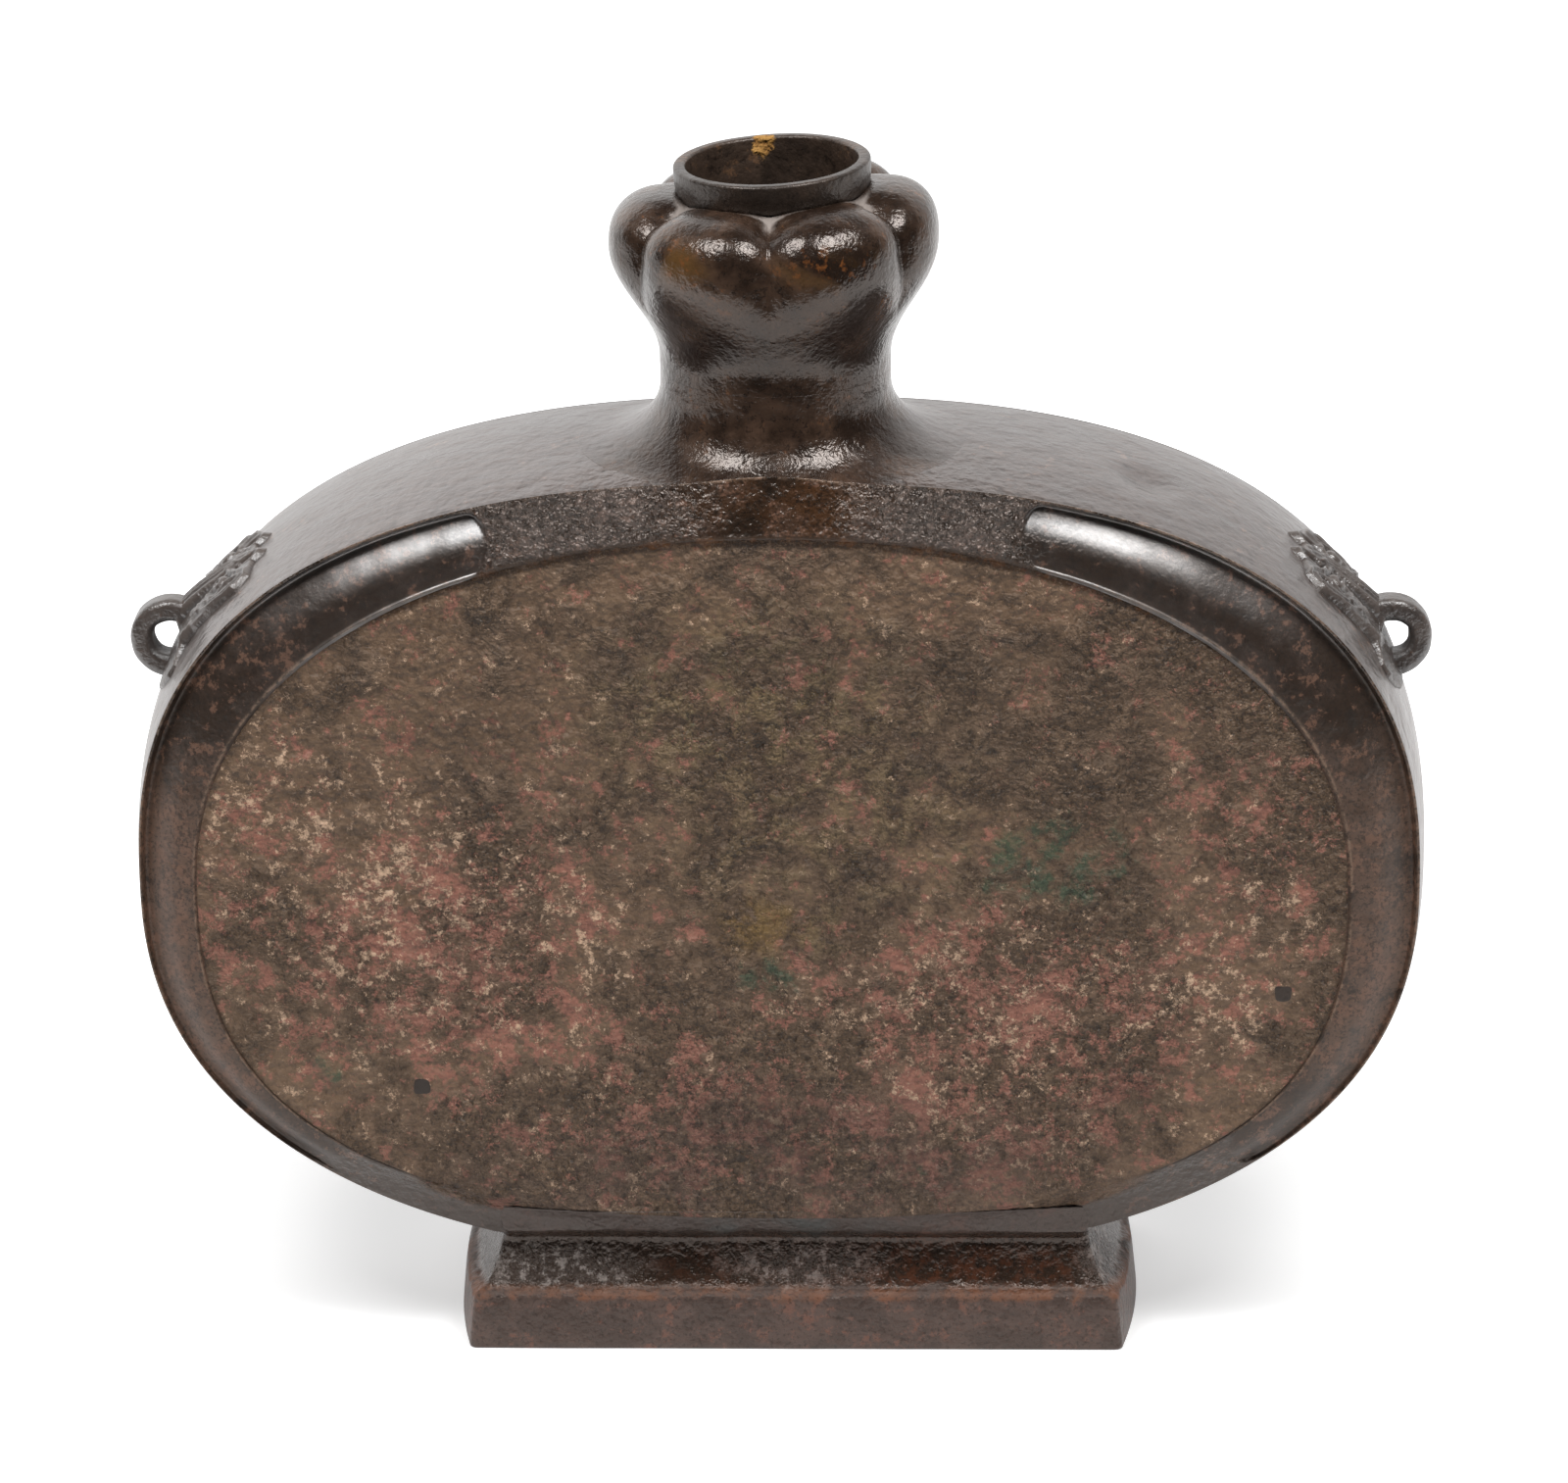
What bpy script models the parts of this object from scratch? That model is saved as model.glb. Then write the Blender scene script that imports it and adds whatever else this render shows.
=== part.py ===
"""Flat bronze flask that stands on a rectangular foot, with a garlic-shaped head.

A drum-shaped body stands on edge. Its two oval faces are raised panels inside
a sloping band, and the band is hollowed into a groove at each side. A short
neck, a six-lobed head and a collar stand on its top. An animal mask with a
fixed loop is cast on each shoulder. X runs across the faces, Y from the front
face to the back one and Z up, with the origin under the middle of the flask.
"""
import math

import bmesh
import bpy
import numpy as np

MM = 0.001
TURN = 2.0 * math.pi

# Clearance between castings that touch, how far a cut runs past its piece, and
# the distance within which doubled points are merged
GAP = 0.3 * MM
OVERRUN = 2.0 * MM
MERGE = 0.01 * MM

# How finely round things are stepped, and the angle from which an edge stays sharp
ROUND_STEPS = 48
LOBE_STEPS = 10
CAVITY_STEPS = 64
TABLE_STEPS = 2880
SHARP_ANGLE = math.radians(45.0)

# Body: a drum on edge, seen from the front as an oval
BODY_HALF_WIDTH = 155.0 * MM
BODY_RISE = 103.2 * MM
BODY_DROP = 99.5 * MM
BODY_THICKNESS = 67.4 * MM
BODY_WALL = 2.6 * MM
WALL_CROWN = 2.7 * MM
RIM_POWERS = (2.52, 2.3)
STATION_STEP = 9.5 * MM

# Band between the rim and the raised oval panel, widest at the two sides
BAND_SIDE = 16.0 * MM
BAND_TOP = 11.0 * MM
BAND_LOW = 13.5 * MM
PANEL_STEP = 5.0 * MM
PANEL_SHIFT = -1.5 * MM
PANEL_POWERS = (2.2, 2.6)

# Groove hollowed into the band, and how far from the middle it ends
GROOVE_DEPTH = 4.6 * MM
GROOVE_RAMP = 3.0 * MM
GROOVE_TOP_END_LEFT = 69.0 * MM
GROOVE_TOP_END_RIGHT = 60.0 * MM
GROOVE_LOW_END_LEFT = 104.0 * MM
GROOVE_LOW_END_RIGHT = 112.0 * MM

# Rows of the band from the rim to the panel: share of its width, share of the
# panel's step and share of the groove's depth that each row has
GROOVE_ROW_SHARES = (
    (0.00, 0.0, 0.00),
    (0.06, 0.0, 0.00),
    (0.13, 0.0, 0.80),
    (0.28, 0.0, 1.00),
    (0.62, 0.0, 0.54),
    (0.93, 0.5, 0.00),
    (1.00, 1.0, 0.00),
)
# The inner skin needs one row under the groove, as shares of the same three
INNER_ROW_SHARES = (0.62, 0.0, 0.54)

# Neck: a waisted tube whose base flares out over the shoulder
NECK_RADIUS = 27.8 * MM
NECK_WALL = 3.1 * MM
NECK_HEIGHT = 19.3 * MM
NECK_FLARE_SIDE = 11.0 * MM
NECK_FLARE_FRONT = 3.6 * MM
NECK_FLARE_HEIGHT = 13.0 * MM
NECK_FOOT_EDGE = 0.7 * MM

# Garlic head: six lobes over the neck, pinched between them
HEAD_RADIUS = 39.5 * MM
HEAD_PLAIN_HEIGHT = 2.8 * MM
HEAD_BELLY_HEIGHT = 30.9 * MM
HEAD_HEIGHT = 44.2 * MM
HEAD_TOP_POWER = 2.5
HEAD_WALL = 3.4 * MM
HEAD_TOP_WALL = 3.2 * MM
LOBES = 6
LOBE_PINCH = 3.0 * MM
LOBE_SHARPNESS = 1.3
# Heights of the head's outer rings; heights and pinch of the rings of its hollow
HEAD_RING_SHARES = (0.0, 0.08, 0.20, 0.32, 0.44, 0.56, 0.68, 0.79, 0.88, 0.94, 0.98, 1.0)
HOLLOW_RING_SHARES = ((0.90, 1.0), (0.72, 1.0), (0.50, 0.0), (0.30, 0.0))
PINCH_START_SHARE = 0.3

# Collar round the mouth, which was cast leaning a little to the left
COLLAR_RADIUS = 23.6 * MM
COLLAR_WALL = 3.0 * MM
COLLAR_HEIGHT = 6.0 * MM
COLLAR_EDGE = 0.6 * MM
MOUTH_LEAN = math.radians(2.4)

# Foot: a rectangular plinth with bowed ends under a concave waist
FOOT_STAND = 22.5 * MM
FOOT_HALF_LENGTH = 80.8 * MM
FOOT_HALF_DEPTH = 36.0 * MM
FOOT_END_BOW = 4.2 * MM
FOOT_CORNER = 3.5 * MM
FOOT_SHIFT = 3.0 * MM
FOOT_BATTER = 1.4 * MM
FOOT_WAIST_INSET = 6.4 * MM
FOOT_WALL = 4.0 * MM
PLINTH_HEIGHT = 15.0 * MM
WAIST_HEIGHT = 25.5 * MM
# Concave rise from the plinth to the waist: shares of its height and its inset
WAIST_ROW_SHARES = ((0.25, 0.42), (0.6, 0.8), (1.0, 1.0))

# Animal mask on each shoulder, laid along the curved wall
MASK_HEIGHT = 75.2 * MM
MASK_LENGTH = 44.5 * MM
MASK_HALF_WIDTH = 20.0 * MM
MASK_EDGE = 1.2 * MM
MASK_RELIEF = 3.0 * MM
MASK_ROWS = 22
MASK_COLUMNS = 19
MASK_EDGE_SLOPE = 4.0
# Outline of the mask: share of its length from the crest, share of its half width
MASK_OUTLINE_SHARES = (
    (0.0, 0.20), (0.06, 0.42), (0.12, 0.80), (0.20, 0.95), (0.40, 0.88), (0.56, 0.76),
    (0.66, 0.82), (0.75, 1.0), (0.84, 0.90), (0.93, 0.60), (1.0, 0.28),
)
# Bumps of the face: places along and across it, reach along and across, height
MASK_BUMP_SHARES = (
    (0.30, 0.45, 0.055, 0.13, 0.75),
    (0.28, 0.84, 0.150, 0.08, 0.45),
    (0.15, 0.38, 0.080, 0.12, 0.55),
    (0.08, 0.00, 0.090, 0.13, 0.65),
    (0.46, 0.52, 0.060, 0.15, 0.45),
    (0.52, 0.30, 0.050, 0.14, 0.60),
    (0.38, 0.00, 0.170, 0.20, 0.95),
    (0.53, 0.00, 0.065, 0.26, 1.00),
)

# Loop that springs from the snout and lands on the mask's lower pad
LOOP_RADIUS = 7.6 * MM
LOOP_THICKNESS = 4.8 * MM
LOOP_WIDTH = 8.0 * MM
LOOP_REACH = 2.5 * MM
LOOP_PLACE_SHARE = 0.75
LOOP_STEPS = 20

# Chaplets: small bronze spacers caught in the front wall when it was poured
CHAPLET_SIDE = 4.4 * MM
CHAPLET_SINK = 0.2 * MM
CHAPLET_PLACE_SHARES = ((-0.63, -0.59), (0.88, -0.30))

HALF_THICKNESS = BODY_THICKNESS / 2
BODY_HEIGHT = FOOT_STAND + BODY_DROP
PANEL_Y = HALF_THICKNESS + PANEL_STEP
NECK_BORE = NECK_RADIUS - NECK_WALL
MOUTH_BORE = COLLAR_RADIUS - COLLAR_WALL


def start_scene():
    """Empty the scene and make the collections and the frame the castings hang on."""
    for old in list(bpy.data.objects):
        bpy.data.objects.remove(old, do_unlink=True)
    parts = bpy.data.collections.new("garlic_head_bottle")
    cutters = bpy.data.collections.new("cutters")
    bpy.context.scene.collection.children.link(parts)
    bpy.context.scene.collection.children.link(cutters)
    frame = bpy.data.objects.new("body_centre", None)
    frame.location = (0.0, 0.0, BODY_HEIGHT)
    parts.objects.link(frame)
    return parts, cutters, frame


PARTS, CUTTERS, FRAME = start_scene()


def bronze(name, colour, roughness, metallic=0.75):
    """Patinated bronze: a Principled material with a piece's own colour."""
    material = bpy.data.materials.new(name)
    material.use_nodes = True
    shader = material.node_tree.nodes["Principled BSDF"]
    shader.inputs["Base Color"].default_value = (*colour, 1.0)
    shader.inputs["Roughness"].default_value = roughness
    shader.inputs["Metallic"].default_value = metallic
    return material


def place(name, mesh, material=None):
    """Put a mesh in the scene, as a part with a material or as a hidden cutter."""
    piece = bpy.data.objects.new(name, mesh)
    if material is None:
        CUTTERS.objects.link(piece)
        piece.hide_render = True
        piece.display_type = "WIRE"
    else:
        PARTS.objects.link(piece)
        mesh.materials.append(material)
    piece.parent = FRAME
    return piece


def smooth(piece):
    """Shade a piece smooth, with its sharp edges kept."""
    piece.data.shade_smooth()
    piece.data.set_sharp_from_angle(angle=SHARP_ANGLE)
    return piece


def loft(name, rings, closed=False):
    """Mesh through rings of points, capped at both ends or closed on itself."""
    rings = np.asarray(rings)
    rows, count, _ = rings.shape
    around = np.arange(count)
    beside = (around + 1) % count
    faces = []
    for row in range(rows if closed else rows - 1):
        here = row * count
        there = (row + 1) % rows * count
        quads = np.stack([here + around, here + beside, there + beside, there + around], 1)
        faces.extend(quads.tolist())
    if not closed:
        faces.append(around[::-1].tolist())
        faces.append((around + (rows - 1) * count).tolist())
    mesh = bpy.data.meshes.new(name)
    mesh.from_pydata(rings.reshape(-1, 3).tolist(), [], faces)
    return clean(mesh)


def clean(mesh):
    """Merge a mesh's doubled points and turn its faces outwards."""
    edit = bmesh.new()
    edit.from_mesh(mesh)
    bmesh.ops.remove_doubles(edit, verts=edit.verts, dist=MERGE)
    bmesh.ops.recalc_face_normals(edit, faces=edit.faces)
    edit.to_mesh(mesh)
    edit.free()
    return mesh


def cut(piece, cutter):
    """Take the cutter's shape out of a piece."""
    step = piece.modifiers.new("cut_" + cutter.name, "BOOLEAN")
    step.operation = "DIFFERENCE"
    step.solver = "EXACT"
    step.object = cutter
    return piece


def rim_point(angle):
    """Point and outward direction on the rim, with the angle clockwise from the top.

    Each half of the oval is a superellipse with its own height and power.
    """
    sine, cosine = np.sin(angle), np.cos(angle)
    power = np.where(cosine >= 0, *RIM_POWERS)
    height = np.where(cosine >= 0, BODY_RISE, BODY_DROP)
    x = BODY_HALF_WIDTH * np.sign(sine) * np.abs(sine) ** (2 / power)
    z = height * np.sign(cosine) * np.abs(cosine) ** (2 / power)
    out_x = np.sign(x) * np.abs(x / BODY_HALF_WIDTH) ** (power - 1) / BODY_HALF_WIDTH
    out_z = np.sign(z) * np.abs(z / height) ** (power - 1) / height
    length = np.hypot(out_x, out_z)
    return x, z, out_x / length, out_z / length


def rim_angle(x, upper):
    """Angle of the rim point that lies x to the right, on the upper or lower half."""
    power = RIM_POWERS[0 if upper else 1]
    angle = math.asin((abs(x) / BODY_HALF_WIDTH) ** (power / 2))
    angle = angle if upper else math.pi - angle
    return angle if x >= 0 else TURN - angle


RIM_TABLE_ANGLE = np.linspace(0.0, TURN, TABLE_STEPS + 1)
RIM_TABLE_X, RIM_TABLE_Z, _, _ = rim_point(RIM_TABLE_ANGLE)
RIM_TABLE_LENGTH = np.concatenate(
    [[0.0], np.cumsum(np.hypot(np.diff(RIM_TABLE_X), np.diff(RIM_TABLE_Z)))])


def length_at(angle):
    """Distance along the rim from its top, clockwise."""
    return np.interp(angle, RIM_TABLE_ANGLE, RIM_TABLE_LENGTH)


def angle_at(length):
    """Rim angle at a distance along the rim from its top."""
    return np.interp(length, RIM_TABLE_LENGTH, RIM_TABLE_ANGLE)


GROOVE_SPANS = (
    (length_at(rim_angle(GROOVE_TOP_END_RIGHT, True)),
     length_at(rim_angle(GROOVE_LOW_END_RIGHT, False))),
    (length_at(rim_angle(-GROOVE_LOW_END_LEFT, False)),
     length_at(rim_angle(-GROOVE_TOP_END_LEFT, True))),
)


def rim_stations():
    """Angles at near-even steps round the rim, with stations at each groove's ends."""
    keys = [0.0]
    for start, end in GROOVE_SPANS:
        keys += [start, start + GROOVE_RAMP, end - GROOVE_RAMP, end]
    keys.append(RIM_TABLE_LENGTH[-1])
    lengths = []
    for start, end in zip(keys[:-1], keys[1:]):
        steps = max(1, round((end - start) / STATION_STEP))
        lengths.extend(np.linspace(start, end, steps, endpoint=False))
    return angle_at(np.array(lengths))


def groove_share(angle):
    """1 in the grooves, 0 outside them, with a short ramp at each end."""
    length = length_at(angle)
    share = np.zeros_like(length)
    for start, end in GROOVE_SPANS:
        inside = np.minimum(length - start, end - length) / GROOVE_RAMP
        share = np.maximum(share, np.clip(inside, 0.0, 1.0))
    return share


def band_width(angle):
    """Distance from the rim, straight inwards, to the edge of the raised panel.

    The panel is an oval of its own, and halving steps find its edge.
    """
    x, z, out_x, out_z = rim_point(angle)
    half_width = BODY_HALF_WIDTH - BAND_SIDE
    near = np.zeros_like(x)
    far = np.full_like(x, 0.5 * min(BODY_RISE, BODY_DROP))
    for _ in range(40):
        middle = (near + far) / 2
        inner_x = x - out_x * middle - PANEL_SHIFT
        inner_z = z - out_z * middle
        power = np.where(inner_z >= 0, *PANEL_POWERS)
        height = np.where(inner_z >= 0, BODY_RISE - BAND_TOP, BODY_DROP - BAND_LOW)
        outside = np.abs(inner_x / half_width) ** power + np.abs(inner_z / height) ** power > 1
        near = np.where(outside, middle, near)
        far = np.where(outside, far, middle)
    return (near + far) / 2


def ring_at(angle, inset, y):
    """Ring of points a distance inside the rim, at depth y."""
    x, z, out_x, out_z = rim_point(angle)
    return np.stack([x - out_x * inset, y + 0 * x, z - out_z * inset], 1)


def crown(y):
    """How far the wall swells past the rim at depth y."""
    return WALL_CROWN * (1 - (y / HALF_THICKNESS) ** 2)


def body_rings(angle, grow=0.0):
    """Rings of the drum from the front panel to the back one, grown by a clearance."""
    width = band_width(angle)
    groove = groove_share(angle)
    side = []
    for across, step, depth in GROOVE_ROW_SHARES:
        plain = PANEL_STEP * across
        hollow = PANEL_STEP * step - GROOVE_DEPTH * depth
        y = HALF_THICKNESS + grow + (1 - groove) * plain + groove * hollow
        side.append((width * across - grow, y))
    rings = [ring_at(angle, inset, -y) for inset, y in reversed(side)]
    for y in (-HALF_THICKNESS / 2, 0.0, HALF_THICKNESS / 2):
        rings.append(ring_at(angle, -crown(y) - grow, y))
    rings += [ring_at(angle, inset, y) for inset, y in side]
    return rings


def cavity_rings(angle):
    """Rings of the inside of the drum, one wall thickness within the outer skin."""
    width = band_width(angle)
    across, step, depth = INNER_ROW_SHARES
    side = [
        (BODY_WALL, HALF_THICKNESS - GROOVE_DEPTH - BODY_WALL),
        (width * across, HALF_THICKNESS - GROOVE_DEPTH * depth - BODY_WALL),
        (width + BODY_WALL, PANEL_Y - BODY_WALL),
    ]
    rings = [ring_at(angle, inset, -y) for inset, y in reversed(side)]
    rings.append(ring_at(angle, BODY_WALL - WALL_CROWN, 0.0))
    rings += [ring_at(angle, inset, y) for inset, y in side]
    return rings


def shoulder_height(x, y):
    """Height of the wall's outer skin over the body's centre, near the top."""
    return BODY_RISE * (1 - np.abs(x / BODY_HALF_WIDTH) ** RIM_POWERS[0]) ** (
        1 / RIM_POWERS[0]) + crown(y)


def make_body():
    """Hollow drum with the hole for the neck in its top wall."""
    skin = bronze("body_bronze", (0.115, 0.080, 0.060), 0.5)
    body = place("body_shell", loft("body_shell", body_rings(rim_stations())), skin)
    even = angle_at(np.linspace(0.0, RIM_TABLE_LENGTH[-1], CAVITY_STEPS, endpoint=False))
    cut(body, place("cavity", loft("cavity", cavity_rings(even))))
    turn = np.linspace(0.0, TURN, ROUND_STEPS, endpoint=False)
    bore = [np.stack([NECK_BORE * np.sin(turn), -NECK_BORE * np.cos(turn), z + 0 * turn], 1)
            for z in (BODY_RISE - 4 * BODY_WALL, BODY_RISE + WALL_CROWN + OVERRUN)]
    cut(body, place("neck_bore", loft("neck_bore", bore)))
    return smooth(body)


def make_chaplets(body):
    """Square spacers in the front wall, each in a hole with a clearance round it."""
    skin = bronze("chaplet_bronze", (0.060, 0.050, 0.045), 0.6)
    for side, (across, up) in zip(("left", "right"), CHAPLET_PLACE_SHARES):
        x = across * (BODY_HALF_WIDTH - BAND_SIDE)
        z = up * (BODY_RISE - BAND_TOP)
        size = np.array([CHAPLET_SIDE, BODY_WALL, CHAPLET_SIDE])
        spot = np.array([x, -PANEL_Y + CHAPLET_SINK + BODY_WALL / 2, z])
        place("chaplet_" + side, box("chaplet_" + side, size, spot), skin.copy())
        hole = size + np.array([2 * GAP, 2 * OVERRUN, 2 * GAP])
        name = "chaplet_hole_" + side
        cut(body, place(name, box(name, hole, spot)))


def box(name, size, centre):
    """Box of a size round its centre."""
    mesh = bpy.data.meshes.new(name)
    edit = bmesh.new()
    bmesh.ops.create_cube(edit, size=1.0)
    bmesh.ops.scale(edit, vec=size.tolist(), verts=edit.verts)
    bmesh.ops.translate(edit, vec=centre.tolist(), verts=edit.verts)
    edit.to_mesh(mesh)
    edit.free()
    return mesh


def make_neck():
    """Waisted tube whose flared base follows the shoulder it stands on."""
    skin = bronze("neck_bronze", (0.080, 0.055, 0.042), 0.35)
    turn = np.linspace(0.0, TURN, ROUND_STEPS, endpoint=False)
    right, front = np.sin(turn), -np.cos(turn)
    top = BODY_RISE + NECK_HEIGHT

    def ring(flare_share, rise):
        x = (NECK_RADIUS + NECK_FLARE_SIDE * flare_share) * right
        y = (NECK_RADIUS + NECK_FLARE_FRONT * flare_share) * front
        return np.stack([x, y, shoulder_height(x, y) + GAP + rise], 1)

    rings = [ring(1.0, 0.0)]
    for angle in np.linspace(0.0, TURN / 4, 6):
        rise = NECK_FOOT_EDGE + NECK_FLARE_HEIGHT * (1 - math.cos(angle))
        rings.append(ring(1 - math.sin(angle), rise))
    for radius in (NECK_RADIUS, NECK_BORE):
        rings.append(np.stack([radius * right, radius * front, top + 0 * turn], 1))
    x, y = NECK_BORE * right, NECK_BORE * front
    rings.append(np.stack([x, y, shoulder_height(x, y) + GAP], 1))
    return smooth(place("neck", loft("neck", rings, closed=True), skin))


def head_radius(height):
    """Plain radius of the head at a height over its seam with the neck.

    A cosine ease swells the neck to the belly, and a quarter of a superellipse
    closes it to the collar.
    """
    if height < HEAD_BELLY_HEIGHT:
        swell = (height - HEAD_PLAIN_HEIGHT) / (HEAD_BELLY_HEIGHT - HEAD_PLAIN_HEIGHT)
        ease = 0.5 - 0.5 * math.cos(math.pi * max(0.0, swell))
        return NECK_RADIUS + (HEAD_RADIUS - NECK_RADIUS) * ease
    over = (height - HEAD_BELLY_HEIGHT) / (HEAD_HEIGHT - HEAD_BELLY_HEIGHT)
    shoulder = COLLAR_RADIUS + COLLAR_EDGE
    rest = max(0.0, 1 - over ** HEAD_TOP_POWER) ** (1 / HEAD_TOP_POWER)
    return shoulder + (HEAD_RADIUS - shoulder) * rest


def make_head():
    """Six-lobed bulb, hollow, whose top leans with the mouth."""
    skin = bronze("head_bronze", (0.080, 0.055, 0.042), 0.32)
    turn = np.linspace(0.0, TURN, LOBE_STEPS * LOBES, endpoint=False)
    right, front = np.sin(turn), -np.cos(turn)
    pinch = (1 - np.abs(np.sin(turn * LOBES / 2))) ** LOBE_SHARPNESS
    seam = BODY_RISE + NECK_HEIGHT + GAP

    def ring(height, radius, pinch_share):
        reach = radius - LOBE_PINCH * pinch_share * pinch
        x = reach * right
        lift = height / HEAD_HEIGHT
        lean = x * math.tan(MOUTH_LEAN) * lift ** 2
        return np.stack([x, reach * front, seam + height + lean], 1)

    rings = []
    for share in HEAD_RING_SHARES:
        height = share * HEAD_HEIGHT
        pinch_share = max(0.0, (share - PINCH_START_SHARE) / (1 - PINCH_START_SHARE))
        rings.append(ring(height, head_radius(height), pinch_share))
    inner_top = HEAD_HEIGHT - HEAD_TOP_WALL
    rings.append(ring(HEAD_HEIGHT, MOUTH_BORE, 0.0))
    rings.append(ring(inner_top, MOUTH_BORE, 0.0))
    for share, pinched in HOLLOW_RING_SHARES:
        height = share * inner_top
        rings.append(ring(height, head_radius(height) - HEAD_WALL, pinched))
    rings.append(ring(0.0, NECK_BORE, 0.0))
    return smooth(place("garlic_head", loft("garlic_head", rings, closed=True), skin))


def make_collar():
    """Turned ring round the mouth, seated on the head's leaning top."""
    skin = bronze("collar_bronze", (0.075, 0.055, 0.045), 0.4)
    outer, inner = COLLAR_RADIUS, MOUTH_BORE
    profile = [
        (outer - COLLAR_EDGE, COLLAR_HEIGHT),
        (outer, COLLAR_HEIGHT - COLLAR_EDGE),
        (outer, 0.0),
        (inner, 0.0),
        (inner, COLLAR_HEIGHT - COLLAR_EDGE),
        (inner + COLLAR_EDGE, COLLAR_HEIGHT),
    ]
    count = len(profile)
    mesh = bpy.data.meshes.new("mouth_collar")
    mesh.from_pydata([(x, 0.0, z) for x, z in profile],
                     [(i, (i + 1) % count) for i in range(count)], [])
    collar = place("mouth_collar", mesh, skin)
    collar.location.z = BODY_RISE + NECK_HEIGHT + HEAD_HEIGHT + 2 * GAP
    collar.rotation_euler.y = -MOUTH_LEAN
    turned = collar.modifiers.new("turned", "SCREW")
    turned.steps = turned.render_steps = ROUND_STEPS
    turned.use_merge_vertices = True
    turned.merge_threshold = MERGE
    turned.use_smooth_shade = False
    return collar


def foot_ring(inset, z):
    """Rounded rectangle with bowed ends, a distance inside the foot's base line."""
    half_length = FOOT_HALF_LENGTH - inset
    half_depth = FOOT_HALF_DEPTH - inset
    corner = np.radians(np.linspace(0.0, 90.0, 4))
    quarter_x = half_length - FOOT_CORNER * (1 - np.cos(corner))
    quarter_y = half_depth - FOOT_CORNER * (1 - np.sin(corner))
    end = np.linspace(0.0, half_depth - FOOT_CORNER, 5)[1:-1]
    x = np.concatenate([[half_length], 0 * end + half_length, quarter_x])
    y = np.concatenate([[0.0], end, quarter_y])
    x = np.concatenate([x, -x[::-1], -x[1:], x[:0:-1]])
    y = np.concatenate([y, y[::-1], -y[1:], -y[:0:-1]])
    bow = FOOT_END_BOW * (1 - (y / half_depth) ** 2) * (x / half_length) ** 3
    return np.stack([x + bow + FOOT_SHIFT, y, z + 0 * x], 1)


def make_foot():
    """Hollow foot, cut to the curve of the body that stands on it."""
    skin = bronze("foot_bronze", (0.105, 0.070, 0.055), 0.55)
    table = -BODY_HEIGHT
    rows = [(0.0, 0.0), (FOOT_BATTER, PLINTH_HEIGHT)]
    for up, inward in WAIST_ROW_SHARES:
        rows.append((FOOT_BATTER + (FOOT_WAIST_INSET - FOOT_BATTER) * inward,
                     PLINTH_HEIGHT + (WAIST_HEIGHT - PLINTH_HEIGHT) * up))
    rows.append((FOOT_WAIST_INSET, FOOT_STAND + BODY_DROP / 4))
    outer = [foot_ring(inset, table + z) for inset, z in rows]
    inner = [foot_ring(inset + FOOT_WALL, table + z) for inset, z in reversed(rows)]
    foot = place("foot", loft("foot", outer + inner, closed=True), skin)
    grown = loft("body_clearance", body_rings(rim_stations(), grow=GAP))
    cut(foot, place("body_clearance", grown))
    return smooth(foot)


def mask_angle(along):
    """Rim angle at a distance down the wall from the mask's crest."""
    power = RIM_POWERS[0]
    crest_x = BODY_HALF_WIDTH * (1 - (MASK_HEIGHT / BODY_RISE) ** power) ** (1 / power)
    return angle_at(length_at(rim_angle(crest_x, True)) + along)


def mask_points(side, along, across, height):
    """Points over the wall: distance down from the crest, across it and out of it."""
    x, z, out_x, out_z = rim_point(mask_angle(along))
    reach = crown(across) + height
    return np.stack([side * (x + out_x * reach), across, z + out_z * reach], -1)


def mask_relief(along_share, across_share):
    """Height of the face over its plate: a sum of rounded bumps, alike on both halves."""
    height = np.zeros_like(along_share)
    for along, across, reach_along, reach_across, rise in MASK_BUMP_SHARES:
        near = ((along_share - along) / reach_along) ** 2
        near = near + ((np.abs(across_share) - across) / reach_across) ** 2
        height = np.maximum(height, rise * np.exp(-near))
    return height


def mask_mesh(name, side, grow=0.0):
    """Mask as a curved plate with a face in relief, or grown as a cutter."""
    rows = np.linspace(0.0, 1.0, MASK_ROWS)
    columns = np.linspace(-1.0, 1.0, MASK_COLUMNS)
    along_share, across_share = np.meshgrid(rows, columns, indexing="ij")
    outline = np.array(MASK_OUTLINE_SHARES)
    half_width = MASK_HALF_WIDTH * np.interp(along_share, outline[:, 0], outline[:, 1])
    across = across_share * half_width
    along = along_share * MASK_LENGTH
    edge = np.minimum(1.0, MASK_EDGE_SLOPE * (1 - np.abs(across_share)))
    relief = edge * mask_relief(along_share, across / MASK_HALF_WIDTH)
    top = GAP + MASK_EDGE + MASK_RELIEF * relief
    base = 0 * top + (-LOOP_RADIUS - LOOP_THICKNESS if grow else GAP)
    if grow:
        across = across * (1 + grow / MASK_HALF_WIDTH)
    face = mask_points(side, along, across, top + grow)
    back = mask_points(side, along, across, base)
    rings = []
    for row in range(len(rows)):
        rings.append(np.concatenate([face[row], back[row][::-1]]))
    return loft(name, rings)


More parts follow.
